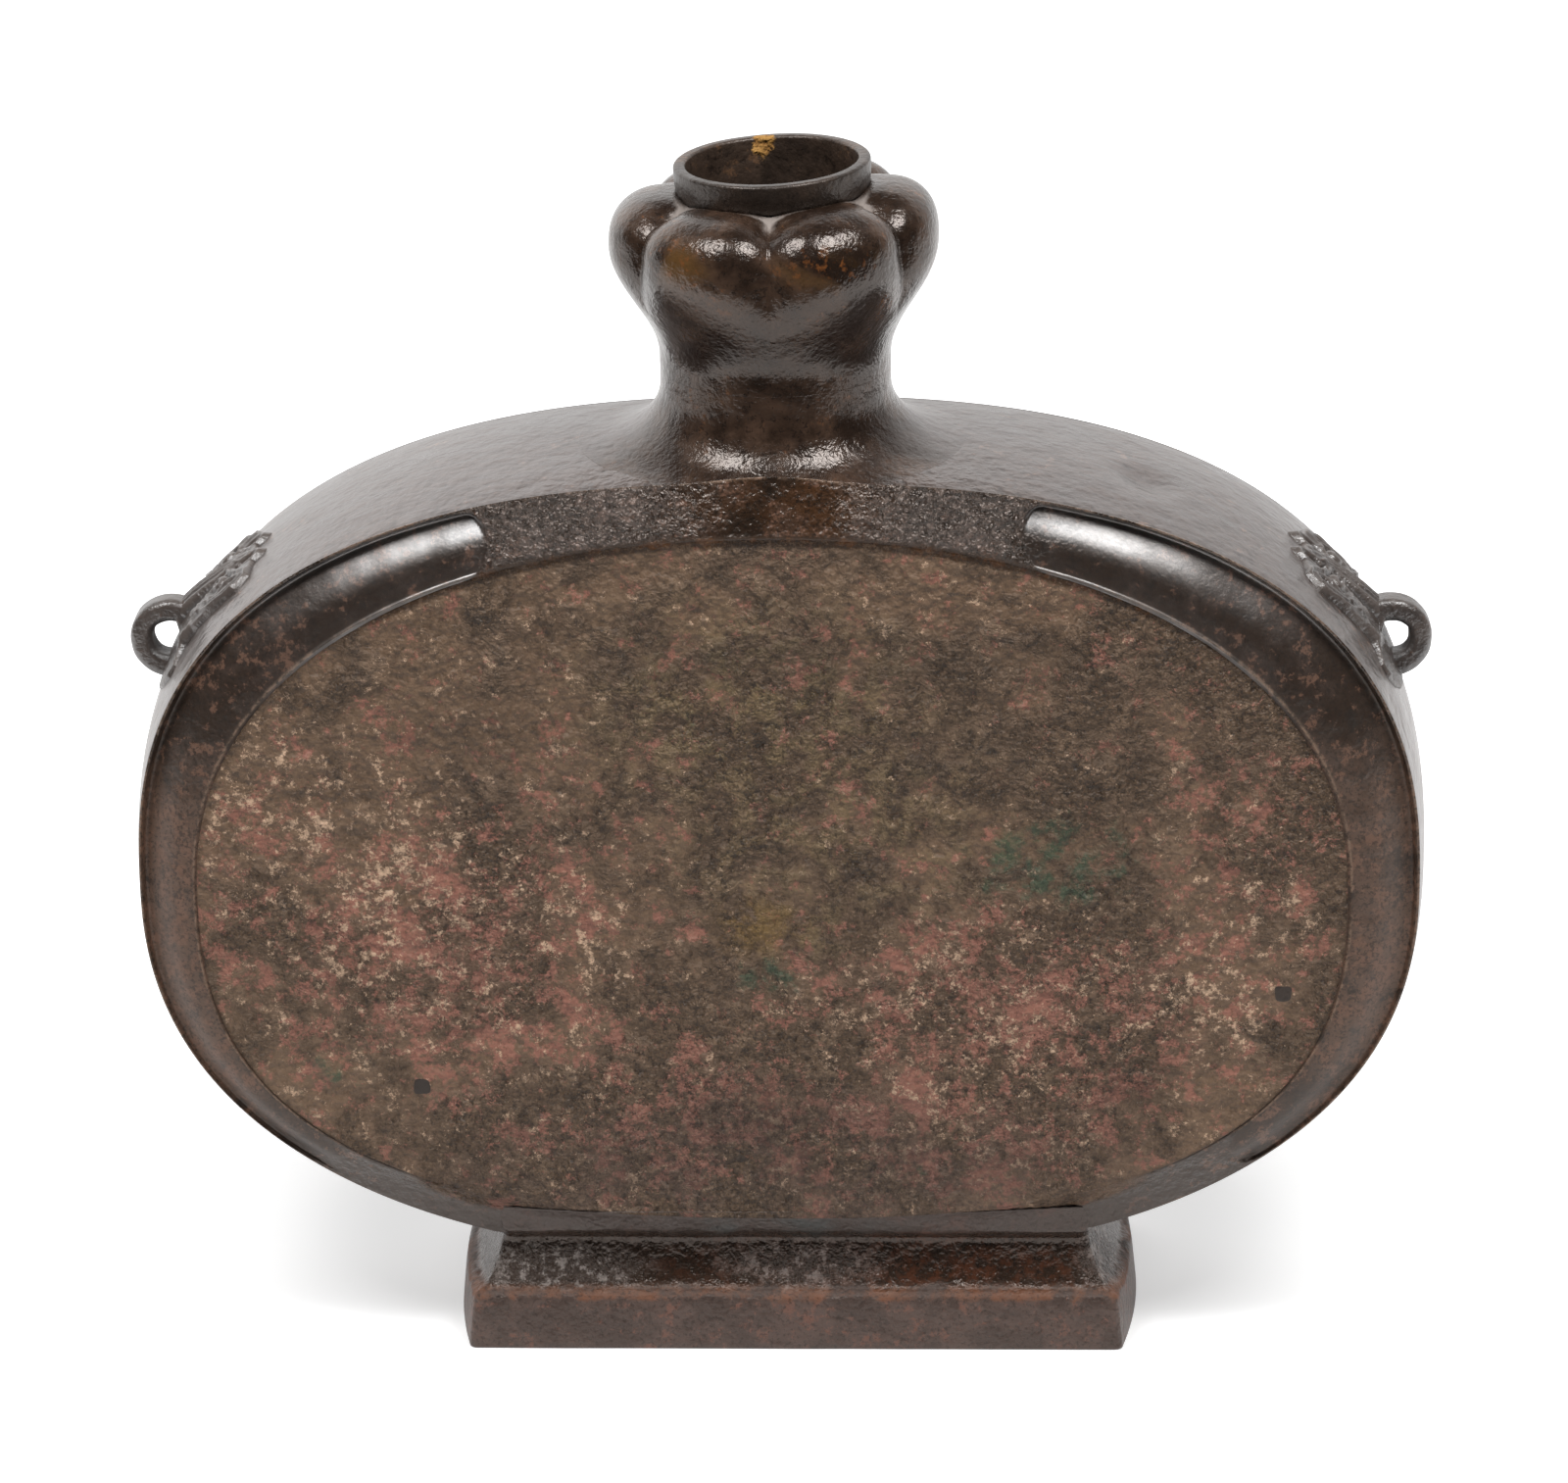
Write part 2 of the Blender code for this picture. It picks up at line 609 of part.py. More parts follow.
def loop_mesh(side):
    """Open ring of flat rounded bar in the plane of the flask.

    Its centre stands off the wall, and both its ends run down into the mask.
    """
    angle = mask_angle(MASK_LENGTH * LOOP_PLACE_SHARE)
    x, z, out_x, out_z = (float(value) for value in rim_point(angle))
    reach = crown(0.0) + LOOP_REACH
    centre_x, centre_z = x + out_x * reach, z + out_z * reach
    facing = math.atan2(out_z, out_x)
    end = math.acos(max(-1.0, -(LOOP_REACH + MASK_EDGE) / LOOP_RADIUS))
    curve = bpy.data.curves.new("loop_path", "CURVE")
    curve.dimensions = "3D"
    curve.fill_mode = "FULL"
    curve.use_fill_caps = True
    curve.bevel_depth = LOOP_THICKNESS / 2
    curve.extrude = (LOOP_WIDTH - LOOP_THICKNESS) / 2
    curve.bevel_resolution = 2
    path = curve.splines.new("POLY")
    turns = facing + np.linspace(-end, end, LOOP_STEPS + 1)
    path.points.add(len(turns) - 1)
    for point, turn in zip(path.points, turns):
        point.co = (side * (centre_x + LOOP_RADIUS * math.cos(turn)),
                    centre_z + LOOP_RADIUS * math.sin(turn), 0.0, 1.0)
    guide = bpy.data.objects.new("loop_path", curve)
    guide.rotation_euler.x = math.radians(90.0)
    CUTTERS.objects.link(guide)
    bpy.context.view_layer.update()
    ready = guide.evaluated_get(bpy.context.evaluated_depsgraph_get())
    mesh = bpy.data.meshes.new_from_object(ready)
    mesh.transform(guide.matrix_world)
    bpy.data.objects.remove(guide)
    return clean(mesh)


def make_handles():
    """Mask and loop on each shoulder."""
    mask_skin = bronze("mask_bronze", (0.090, 0.075, 0.065), 0.45)
    loop_skin = bronze("loop_bronze", (0.095, 0.070, 0.055), 0.4)
    for name, side in (("left", -1.0), ("right", 1.0)):
        mask = place("mask_" + name, mask_mesh("mask_" + name, side), mask_skin.copy())
        smooth(mask)
        loop = place("loop_" + name, loop_mesh(side), loop_skin.copy())
        clearance = "mask_clearance_" + name
        cut(loop, place(clearance, mask_mesh(clearance, side, grow=GAP)))
        smooth(loop)


BODY = make_body()
make_chaplets(BODY)
make_neck()
make_head()
make_collar()
make_foot()
make_handles()
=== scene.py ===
"""Studio picture of a flat bronze flask with a garlic-shaped head.

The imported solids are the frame. Each of them is replaced here by a finer casting
of the same size, worked out as a surface over a grid, with its own patina.
"""
import math

import bmesh
import bpy
import numpy as np
from mathutils import Matrix, Vector


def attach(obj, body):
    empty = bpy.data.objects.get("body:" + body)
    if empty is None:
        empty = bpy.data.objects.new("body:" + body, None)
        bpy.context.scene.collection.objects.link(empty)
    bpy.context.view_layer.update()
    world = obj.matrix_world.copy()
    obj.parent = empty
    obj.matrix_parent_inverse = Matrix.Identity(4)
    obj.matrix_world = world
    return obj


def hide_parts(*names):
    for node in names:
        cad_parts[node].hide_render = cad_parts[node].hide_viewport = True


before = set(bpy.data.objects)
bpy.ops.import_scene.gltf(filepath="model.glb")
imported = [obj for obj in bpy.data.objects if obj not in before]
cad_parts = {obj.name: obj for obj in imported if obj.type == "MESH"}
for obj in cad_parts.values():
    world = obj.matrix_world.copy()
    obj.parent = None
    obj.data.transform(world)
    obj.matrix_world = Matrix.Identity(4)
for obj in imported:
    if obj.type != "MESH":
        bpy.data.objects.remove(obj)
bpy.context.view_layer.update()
MM = 0.001
TURN = 2.0 * math.pi

# Body: one hollow casting of thin leaded bronze, a drum on edge whose two oval faces are
# raised panels. The band round each panel is hollowed into a groove at each side, which
# ends in a rounded step. The wall between the faces is a little crowned.
BODY_HEIGHT = 122.0 * MM
HALF_WIDTH, RISE, DROP = 155.0 * MM, 103.2 * MM, 99.5 * MM
RISE_POWER, DROP_POWER = 2.52, 2.3
RIM_Y, PANEL_Y = 33.7 * MM, 38.65 * MM
CROWN = 2.65 * MM
PANEL_HALF_WIDTH, PANEL_RISE, PANEL_DROP = 139.0 * MM, 90.4 * MM, 86.0 * MM
PANEL_SHIFT = -1.5 * MM
PANEL_LIFT = 3.0 * MM
GROOVE_DEPTH, GROOVE_RIDGE, STEEPEST = 2.8 * MM, 4.5 * MM, 0.31
LIP, CREST_SHARE, CREST_HEIGHT = 0.9 * MM, 0.945, 0.38 * MM
PANEL_RISE_POWER, PANEL_DROP_POWER, SLOPE_POWER = 2.2, 2.6, 2.6
MOAT_DEPTH, MOAT_WIDTH, EDGE_LINE, EDGE_WEAR = 0.8 * MM, 9 * MM, 0.30 * MM, 0.27 * MM
BAND_WAVE, PANEL_WAVE = 0.12 * MM, 0.16 * MM
FOOT_SHIFT, FOOT_DIP, COVE_TOP = 3.0 * MM, 6.5 * MM, 37.8 * MM
NECK_RADIUS, NECK_BORE, BORE_DEPTH = 27.8 * MM, 24.7 * MM, 60 * MM
FLARE_SIDE, FLARE_FRONT, FLARE_HEIGHT = 20.0 * MM, 13.0 * MM, 13.5 * MM
BAND_ROWS = np.concatenate([[0.0, 0.012, 0.03, 0.05], np.linspace(0.07, 0.18, 7),
                            np.linspace(0.21, 0.90, 15), np.linspace(0.915, 0.985, 8), [1.0]])
EDGE_ROWS = np.array([0.4, 1.0, 1.8, 3.0]) * MM
PANEL_ROWS = np.linspace(0.975, 0.04, 24)
DENTS = (((88, -6, 92), 7, 2.4), ((78, 10, 95), 14, 0.5), ((-60, -8, 99), 16, 0.35),
         ((128, 12, 68), 10, 0.3))
HOLLOW_ROWS = ((-25.2, 0.55), (-25.2, 0.86), (-22.0, 0.93), (-15, 0.965), (0, 0.975),
               (15, 0.965), (22.0, 0.93), (25.2, 0.86), (25.2, 0.55))
RIM_STEPS, ROUND_STEPS = 7200, 96


def rim_point(angle):
    """Point and outward direction on the rim; the angle runs clockwise from the top.

    x = a |sin|^(2/p), z = b |cos|^(2/p), with the signs of the sine and cosine.
    """
    sine, cosine = np.sin(angle), np.cos(angle)
    power = np.where(cosine >= 0, RISE_POWER, DROP_POWER)
    height = np.where(cosine >= 0, RISE, DROP)
    x = HALF_WIDTH * np.sign(sine) * np.abs(sine) ** (2 / power)
    z = height * np.sign(cosine) * np.abs(cosine) ** (2 / power)
    out_x = np.sign(x) * np.abs(x / HALF_WIDTH) ** (power - 1) / HALF_WIDTH
    out_z = np.sign(z) * np.abs(z / height) ** (power - 1) / height
    length = np.hypot(out_x, out_z)
    return x, z, out_x / length, out_z / length


TABLE_ANGLE = np.linspace(0.0, TURN, RIM_STEPS + 1)
TABLE_X, TABLE_Z, _, _ = rim_point(TABLE_ANGLE)
TABLE_LENGTH = np.concatenate([[0.0], np.cumsum(np.hypot(np.diff(TABLE_X), np.diff(TABLE_Z)))])


def angle_at(length):
    """Rim angle at a distance along the rim from its top, clockwise."""
    return np.interp(length, TABLE_LENGTH, TABLE_ANGLE)


def length_over(x, upper):
    """Distance along the rim to the point x to the right, on its upper or lower half."""
    power = RISE_POWER if upper else DROP_POWER
    angle = math.asin((abs(x) / HALF_WIDTH) ** (power / 2))
    angle = angle if upper else math.pi - angle
    return float(np.interp(angle if x >= 0 else TURN - angle, TABLE_ANGLE, TABLE_LENGTH))


def oval_height(x, half_width, height, power):
    """Height of an oval's edge over its middle at x: h (1 - |x/a|^p)^(1/p)."""
    return height * (1 - np.abs(x / half_width) ** power) ** (1 / power)


def ease(value, low, high):
    """Smooth step from 0 at low to 1 at high: 3t^2 - 2t^3."""
    t = np.clip((value - low) / (high - low), 0.0, 1.0)
    return t * t * (3 - 2 * t)


def unevenness(x, y, z, size, seed=0):
    """Slow swell between -1 and 1: eight sine waves in fixed directions, averaged."""
    total = 0.0
    for wave in range(8):
        turn, tilt = 2.4 * wave + seed, math.sin(1.7 * wave + seed)
        pitch = (0.7 + 0.11 * wave) * TURN / size
        flat = math.sqrt(max(0.0, 1 - tilt * tilt))
        along = x * math.cos(turn) * flat + y * math.sin(turn) * flat + z * tilt
        total = total + np.sin(pitch * along + 1.3 * wave * wave + seed)
    return total / 4.0


def band_width(angle):
    """Distance from the rim, straight inwards, to the panel's edge, found by halving."""
    x, z, out_x, out_z = rim_point(angle)
    near, far = np.zeros_like(x), np.full_like(x, DROP / 2)
    for _ in range(40):
        middle = (near + far) / 2
        in_x, in_z = x - out_x * middle - PANEL_SHIFT, z - out_z * middle
        power = np.where(in_z >= 0, PANEL_RISE_POWER, PANEL_DROP_POWER)
        height = np.where(in_z >= 0, PANEL_RISE, PANEL_DROP)
        outside = np.abs(in_x / PANEL_HALF_WIDTH) ** power + np.abs(in_z / height) ** power > 1
        near, far = np.where(outside, middle, near), np.where(outside, far, middle)
    return (near + far) / 2


GROOVES = (
    (length_over(60.0 * MM, True), length_over(112.0 * MM, False), 1.3 * MM, 3.0 * MM),
    (length_over(-104.0 * MM, False), length_over(-69.0 * MM, True), 16.0 * MM, 1.3 * MM),
)


def groove_share(length, inset, width, longer=0.0):
    """1 on a groove's floor, 0 beyond its rounded ends; each end wall has its own length."""
    outer, inner = 5.0 * MM, 8.0 * MM
    near_rim = np.clip(outer - (inset - LIP), 0.0, outer)
    near_panel = np.clip(inner - (width - inset), 0.0, inner)
    back = outer - np.sqrt(outer ** 2 - near_rim ** 2)
    back = back + inner - np.sqrt(inner ** 2 - near_panel ** 2)
    share = 0.0
    for start, end, first_wall, last_wall in GROOVES:
        first = ease(length - start - back, 0.0, first_wall + longer)
        share = np.maximum(share, first * ease(end - length - back, 0.0, last_wall + longer))
    return share


def stations():
    """Distances along the rim, close together where a groove ends."""
    keys, spacing = [0.0], 1.8 * MM
    for start, end, _, _ in GROOVES:
        keys += [start - 1 * MM, start + 11 * MM, end - 11 * MM, end + 1 * MM]
    keys.append(TABLE_LENGTH[-1])
    lengths = []
    for part, (start, end) in enumerate(zip(keys[:-1], keys[1:])):
        pitch = 0.45 * MM if part % 2 else spacing
        lengths.append(np.linspace(start, end, max(2, round((end - start) / pitch)), endpoint=False))
    return np.concatenate(lengths)


def mesh_of(name, points, faces):
    """Mesh from an array of points and a list of arrays of faces, three or four to a face."""
    mesh = bpy.data.meshes.new(name)
    corners = np.concatenate([face.ravel() for face in faces]).astype(np.int32)
    sizes = np.concatenate([np.full(len(face), face.shape[1]) for face in faces]).astype(np.int32)
    starts = np.concatenate([[0], np.cumsum(sizes)[:-1]]).astype(np.int32)
    mesh.vertices.add(len(points))
    mesh.vertices.foreach_set("co", np.ascontiguousarray(points, np.float32).ravel())
    mesh.loops.add(len(corners))
    mesh.loops.foreach_set("vertex_index", corners)
    mesh.polygons.add(len(sizes))
    mesh.polygons.foreach_set("loop_start", starts)
    mesh.polygons.foreach_set("use_smooth", np.ones(len(sizes), bool))
    mesh.update(calc_edges=True)
    mesh.validate()
    return mesh


def grid_faces(rows, columns, closed=False):
    """Four-sided faces of a grid closed round its columns, and round its rows too if asked."""
    row = np.arange(rows if closed else rows - 1)[:, None] * columns
    there = (row + columns) % (rows * columns)
    here, beside = np.arange(columns), (np.arange(columns) + 1) % columns
    return np.stack([row + here, row + beside, there + beside, there + here], -1).reshape(-1, 4)


def fan_faces(start, columns, tip, flip):
    """Triangles from a ring of points to one point at its middle."""
    here, beside = start + np.arange(columns), start + (np.arange(columns) + 1) % columns
    ring = [beside, here] if flip else [here, beside]
    return np.stack(ring + [np.full(columns, tip)], -1)


def crown(y):
    """How far the wall swells past the rim at depth y."""
    return CROWN * (1 - (y / RIM_Y) ** 2)


def flare_reach(right):
    """Width of the neck's flare; right is the sine of the direction, 0 to the front."""
    return FLARE_FRONT + (FLARE_SIDE - FLARE_FRONT) * right ** 2


def neck_rise(x, y):
    """Height of the neck's flare over the wall: H (1 - cos t)^1.15, where sin t = 1 - d / reach."""
    away = np.maximum(np.hypot(x, y), NECK_RADIUS)
    sine = np.clip(1 - (away - NECK_RADIUS) / flare_reach(x / away), 0.0, 1.0)
    return FLARE_HEIGHT * (1 - np.sqrt(1 - sine ** 2)) ** 1.15


def body_surface():
    """Rings of the drum: for each row an inset from the rim and a depth y, then the panels.

    In a groove the depth falls as 1 - exp(-t/0.028) behind the lip and climbs to the ridge as
    t + 0.8 (sin 2 pi (t - s) + sin 2 pi s) / 2 pi, with t the share of the band and s where it
    is steepest. Elsewhere it is a straight slope to the panel. The groove is shallower low down
    the sides and near its ends.
    """
    length = stations()
    angle = angle_at(length)
    x, z, out_x, out_z = rim_point(angle)
    width = band_width(angle)
    share = BAND_ROWS[:, None]
    inset = share * width
    t = np.clip((inset - LIP) / (0.95 * width - LIP), 0.0, 1.0)
    deep = GROOVE_DEPTH * (0.28 + 0.72 * ease(z, -70 * MM, 50 * MM))
    deep = deep * (0.62 + 0.38 * groove_share(length, inset, width, 26 * MM))
    climb = t + 0.8 * (np.sin(TURN * (t - STEEPEST)) + math.sin(TURN * STEEPEST)) / TURN
    hollow = (deep + GROOVE_RIDGE) * climb - deep * (1 - np.exp(-t / 0.028))
    hollow = hollow + (PANEL_Y - RIM_Y - GROOVE_RIDGE) * ease(share, 0.955, 1.0)
    low = ease(np.abs(x), 118 * MM, 70 * MM) * (z < 0)
    plain = (PANEL_Y - RIM_Y) * (share + low * (share ** SLOPE_POWER - share))
    dip = FOOT_DIP * ease(np.abs(x - FOOT_SHIFT), 74 * MM, 63 * MM) * (z < 0)
    covered = ease(np.abs(x - FOOT_SHIFT), 74 * MM, 68 * MM)
    above = BODY_HEIGHT + z - out_z * inset
    over_cove = covered * ease(above, COVE_TOP - 1.2 * MM, COVE_TOP + 0.4 * MM)
    plain = plain - dip * (1 - share ** (2 + 12 * covered)) * (1 - over_cove)
    groove = groove_share(length, inset, width)
    depth = plain + groove * (hollow - plain)
    depth = depth + BAND_WAVE * unevenness(x, length, z, 14 * MM) * ease(share, 0.05, 0.2)
    crest = groove * np.exp(-((share - CREST_SHARE) / 0.020) ** 2)
    depth = depth + CREST_HEIGHT * crest
    depth = depth - EDGE_LINE * np.exp(-((share - 0.985) / 0.014) ** 2) * (1 - low)
    inset = np.concatenate([inset, width + EDGE_ROWS[:, None]])
    depth = np.concatenate([depth, np.full((len(EDGE_ROWS), len(x)), PANEL_Y - RIM_Y)])
    ring_x, ring_z = x - out_x * inset, z - out_z * inset
    raised = (neck_rise(x, RIM_Y) - 0.1 * MM * (neck_rise(x, RIM_Y) > 0)) * (z > 0)
    ring_z[:len(share)] += raised * (1 - share) ** 1.5
    panel_x = PANEL_SHIFT + (ring_x[-1] - PANEL_SHIFT) * PANEL_ROWS[:, None]
    panel_z = PANEL_LIFT + (ring_z[-1] - PANEL_LIFT) * PANEL_ROWS[:, None]
    face_x, face_z = np.concatenate([ring_x, panel_x]), np.concatenate([ring_z, panel_z])
    face_depth = np.concatenate([depth, np.full(panel_x.shape, PANEL_Y - RIM_Y)])
    inner = np.concatenate([np.clip(width * (BAND_ROWS[:, None] - 0.975), -1.0, 1.0),
                            np.hypot(face_x - ring_x[len(share) - 1],
                                     face_z - ring_z[len(share) - 1])[len(share):]])
    moat = ease(inner, 0.0, 0.7 * MM) * np.exp(-np.maximum(inner, 0.0) / MOAT_WIDTH)
    face_depth = face_depth - MOAT_DEPTH * moat * ease(z, -10 * MM, 50 * MM)
    flat = np.concatenate([ease(BAND_ROWS, 0.9, 1.0), np.ones(len(EDGE_ROWS) + len(PANEL_ROWS))])
    face_y = RIM_Y + face_depth + panel_swell(face_x, face_z) * flat[:, None]
    wall_y = (RIM_Y * -np.cos(np.linspace(0, math.pi, 31)[1:-1]))[:, None]
    narrower = 1 - dip / RIM_Y
    worn_edge = EDGE_WEAR * np.exp(-(RIM_Y - np.abs(wall_y)) / (0.35 * MM))
    swing = crown(wall_y) - worn_edge
    wall_x = x + out_x * swing
    wall_z = z + out_z * swing + raised * np.clip(np.abs(wall_y) / RIM_Y, 0.0, 1.0) ** 8
    dent = dents(wall_x, wall_y, wall_z)
    front = np.stack([face_x, -face_y, face_z], -1)
    wall = np.stack([wall_x - out_x * dent, wall_y * narrower, wall_z - out_z * dent], -1)
    back = np.stack([face_x, face_y, face_z], -1)
    rings = np.concatenate([front[::-1], wall, back])
    return rings, zones(groove, low, len(wall))


def panel_swell(x, z):
    """How far the face of a panel lies under its highest point, in slow waves."""
    return PANEL_WAVE * (unevenness(x, 0.0, z, 70 * MM) - 1.5)


def dents(x, y, z):
    """Depth of the knocks in the wall: shallow round ones, depth exp(-(d/reach)^2)."""
    total = 0.0
    for spot, reach, depth in DENTS:
        away = sum((at - s * MM) ** 2 for at, s in zip((x, y, z), spot))
        total = total + depth * MM * np.exp(-away / (reach * MM) ** 2)
    return total


def zones(groove, low, wall_rows):
    """Marks by ring: in a groove, on the thin lip at the rim, near a panel's edge, over the foot."""
    columns = groove.shape[1]
    panel_rows = len(EDGE_ROWS) + len(PANEL_ROWS)
    beyond = np.zeros((panel_rows, columns))
    lip = np.exp(-(BAND_ROWS / 0.03) ** 2)[:, None] + 0 * groove
    lip = lip + groove * np.exp(-((BAND_ROWS - CREST_SHARE) / 0.02) ** 2)[:, None]
    edge = np.exp(-((BAND_ROWS - 1) / 0.10) ** 2)[:, None] * (1 - low)
    on_panel = np.concatenate([np.exp(-(EDGE_ROWS / (2.4 * MM)) ** 2),
                               0 * PANEL_ROWS])[:, None] * (1 - low)
    marks = {}
    for key, band, panel in (("groove", groove * ease(BAND_ROWS, 0.02, 0.08)[:, None], beyond),
                             ("lip", lip * (1 - low), beyond), ("edge", edge, on_panel),
                             ("low", low * ease(BAND_ROWS, 0.30, 0.85)[:, None], beyond),
                             ("sole", low * ease(BAND_ROWS, 0.85, 0.30)[:, None], beyond)):
        face = np.concatenate([band, panel])
        wall = np.full((wall_rows, columns), 0.0)
        if key == "lip":
            wall[[0, -1]], wall[[1, -2]] = 0.85, 0.3
        marks[key] = np.concatenate([face[::-1], wall, face])
    return marks


def piece_of(name, mesh, marks=None):
    """Object at the origin with a mesh and its named marks, one number to a point."""
    for mark, values in (marks or {}).items():
        layer = mesh.attributes.new(mark, "FLOAT", "POINT")
        layer.data.foreach_set("value", np.ascontiguousarray(values, np.float32).ravel())
    piece = bpy.data.objects.new(name, mesh)
    bpy.context.scene.collection.objects.link(piece)
    return piece

def capped(rings, flip=False):
    """Points and faces of rings closed round, with both ends filled to their middle."""
    rows, columns = rings.shape[:2]
    count = rows * columns
    points = np.concatenate([rings.reshape(-1, 3), rings[[0, -1]].mean(1)])
    faces = [grid_faces(rows, columns), fan_faces(0, columns, count, True),
             fan_faces(count - columns, columns, count + 1, False)]
    return points, [face[:, ::-1] if flip else face for face in faces]


def capped_piece(name, rings, marks, flip=False):
    """Piece made of such rings; its marks are 0 at the two middles."""
    ends = {key: np.append(value.ravel(), [0.0, 0.0]) for key, value in marks.items()}
    return piece_of(name, mesh_of(name, *capped(rings, flip)), ends)


def ring_piece(name, rings, marks=None):
    """Piece made of rings closed round, and closed from the last ring back to the first."""
    mesh = mesh_of(name, rings.reshape(-1, 3), [grid_faces(*rings.shape[:2], True)])
    return piece_of(name, mesh, marks)


class Paint:
    """One socket of a material. Sums on it add Math nodes; node() adds any other node."""

    def __init__(self, tree, socket=None):
        self.tree, self.socket = tree, socket

    def node(self, kind, settings=None, inputs=None, out=0):
        """New node of a kind, its settings made first and then its sockets filled."""
        made = self.tree.nodes.new("ShaderNode" + kind)
        for key, value in (settings or {}).items():
            setattr(made, key, value)
        for key, value in (inputs or {}).items():
            named = [made.inputs[key]] if isinstance(key, int) else [
                s for s in made.inputs if s.name == key and s.enabled]
            if isinstance(value, Paint):
                self.tree.links.new(value.socket, named[0])
            else:
                named[0].default_value = value
        outs = [made.outputs[out]] if isinstance(out, int) else [
            s for s in made.outputs if s.name == out and s.enabled]
        return Paint(self.tree, outs[0])

    def math(self, operation, *values):
        return self.node("Math", {"operation": operation}, dict(enumerate(values)))

    def __add__(self, other):
        return self.math("ADD", self, other)

    def __sub__(self, other):
        return self.math("SUBTRACT", self, other)

    def __rsub__(self, other):
        return self.math("SUBTRACT", other, self)

    def __mul__(self, other):
        return self.math("MULTIPLY", self, other)

    __radd__, __rmul__ = __add__, __mul__

    def most(self, other):
        return self.math("MAXIMUM", self, other)

    def step(self, low, high):
        """0 below low, 1 above high, eased between them; the other way round if low > high."""
        ends = {"From Min": min(low, high), "From Max": max(low, high),
                "To Min": float(low > high), "To Max": float(low < high)}
        return self.node("MapRange", {"interpolation_type": "SMOOTHSTEP"},
                         {"Value": self, **ends}, out="Result")

    def mix(self, first, second):
        """Colour between two colours, with this number as the share of the second."""
        ends = {key: colour if isinstance(colour, Paint) else (*colour, 1.0)
                for key, colour in (("A", first), ("B", second))}
        return self.node("Mix", {"data_type": "RGBA"}, {"Factor": self, **ends}, out="Result")

    def between(self, first, second):
        """Number between two numbers, with this one as the share of the second."""
        return self.node("Mix", {"data_type": "FLOAT"}, {"Factor": self, "A": first, "B": second},
                         out="Result")


def noise(place, scale, detail=4.0, rough=0.55, bend=0.0):
    """Fractal noise around a half, with its pattern's size set by scale in 1/m."""
    return place.node("TexNoise", {}, {"Vector": place, "Scale": scale, "Detail": detail,
                                       "Roughness": rough, "Distortion": bend})


def noises(place, *shapes):
    """Several noises, each from its scale, detail, roughness and bend."""
    return [noise(place, *shape) for shape in shapes]


def bumps(place, scale, slope, detail=2.0):
    """Fractal noise as a height in metres, whose steep parts rise at about the slope given."""
    return noise(place, scale, detail, 0.6) * (slope / (0.6 * scale))


def axis(place, letter):
    """One coordinate of the place: X, Y or Z."""
    return place.node("SeparateXYZ", {}, {"Vector": place}, out=letter)


def patch(place, spot, reach):
    """1 at a spot, fading to 0 at its reach; both in millimetres from the body's centre."""
    scale = [1.0 / (r * MM) for r in reach]
    lift = (0.0, 0.0, BODY_HEIGHT)
    shift = [-(s * MM + up) * k for s, up, k in zip(spot, lift, scale)]
    local = place.node("Mapping", {}, {"Vector": place, "Location": shift, "Scale": scale})
    away = place.node("VectorMath", {"operation": "LENGTH"}, {0: local}, out="Value")
    return away.step(1.0, 0.2)


def patches(place, spots):
    """The most of several patches, each a spot, a reach and a strength."""
    total = None
    for spot, reach, strength in spots:
        here = patch(place, spot, reach) * strength
        total = total.most(here) if total else here
    return total


def on_face(place, *spots, y=-38, deep=70):
    """Patches at a depth y, each from its x and z, its reach in x and z, and its strength."""
    return patches(place, [((x, y, z), (wide, deep, tall), strength)
                           for x, z, wide, tall, strength in spots])


def mark(place, name):
    """A named mark of the mesh as a number."""
    return place.node("Attribute", {"attribute_name": name}, out="Fac")


def layered(colour, *layers):
    """A colour under thin layers, each the share that it covers and its own colour."""
    for share, over in layers:
        colour = share.mix(colour, over)
    return colour


def material_of(name, shader, *colours, **settings):
    """Material whose surface is the shader made for its place, which is in metres."""
    material = bpy.data.materials.new(name)
    material.use_nodes = True
    tree = material.node_tree
    tree.nodes.remove(tree.nodes["Principled BSDF"])
    surface = shader(Paint(tree).node("TexCoord", out="Object"), *colours, **settings)
    tree.links.new(surface.socket, tree.nodes["Material Output"].inputs["Surface"])
    return material


def bronze(place, colour, roughness, height, ior=1.5, tint=(1.0, 1.0, 1.0), coat=0.0):
    """Principled shader of patina; the colour, roughness, coat and height in metres may vary."""
    bump = place.node("Bump", {}, {"Height": height, "Strength": 1.0, "Distance": 1.0})
    return place.node("BsdfPrincipled", {}, {"Base Color": colour, "Roughness": roughness,
                                             "Normal": bump, "IOR": ior,
                                             "Specular Tint": (*tint, 1.0), "Coat Weight": coat,
                                             "Coat Roughness": 0.28, "Coat IOR": 2.1})


def edge_rust_and_shade(place, mottle):
    """Two layers in the corner of a band and its panel: dark brown, which is dark patina with painted
    shade under the band's edge, and orange rust.
    """
    edge = mark(place, "edge")
    # Painted shade: the dark layer is made stronger along the panel's top edge, under the band.
    high = patch(place, (0, -38, 95), (170, 60, 75))
    dark = (edge * (0.75 + high * 0.8) + (mottle - 0.5) * 1.6).step(0.55, 1.15)
    orange = (edge * (0.35 + high * 0.35) + (mottle - 0.5) * 2.2).step(0.62, 0.95)
    return (dark * 0.85, (0.040, 0.019, 0.008)), (orange * 0.75, (0.150, 0.058, 0.018))


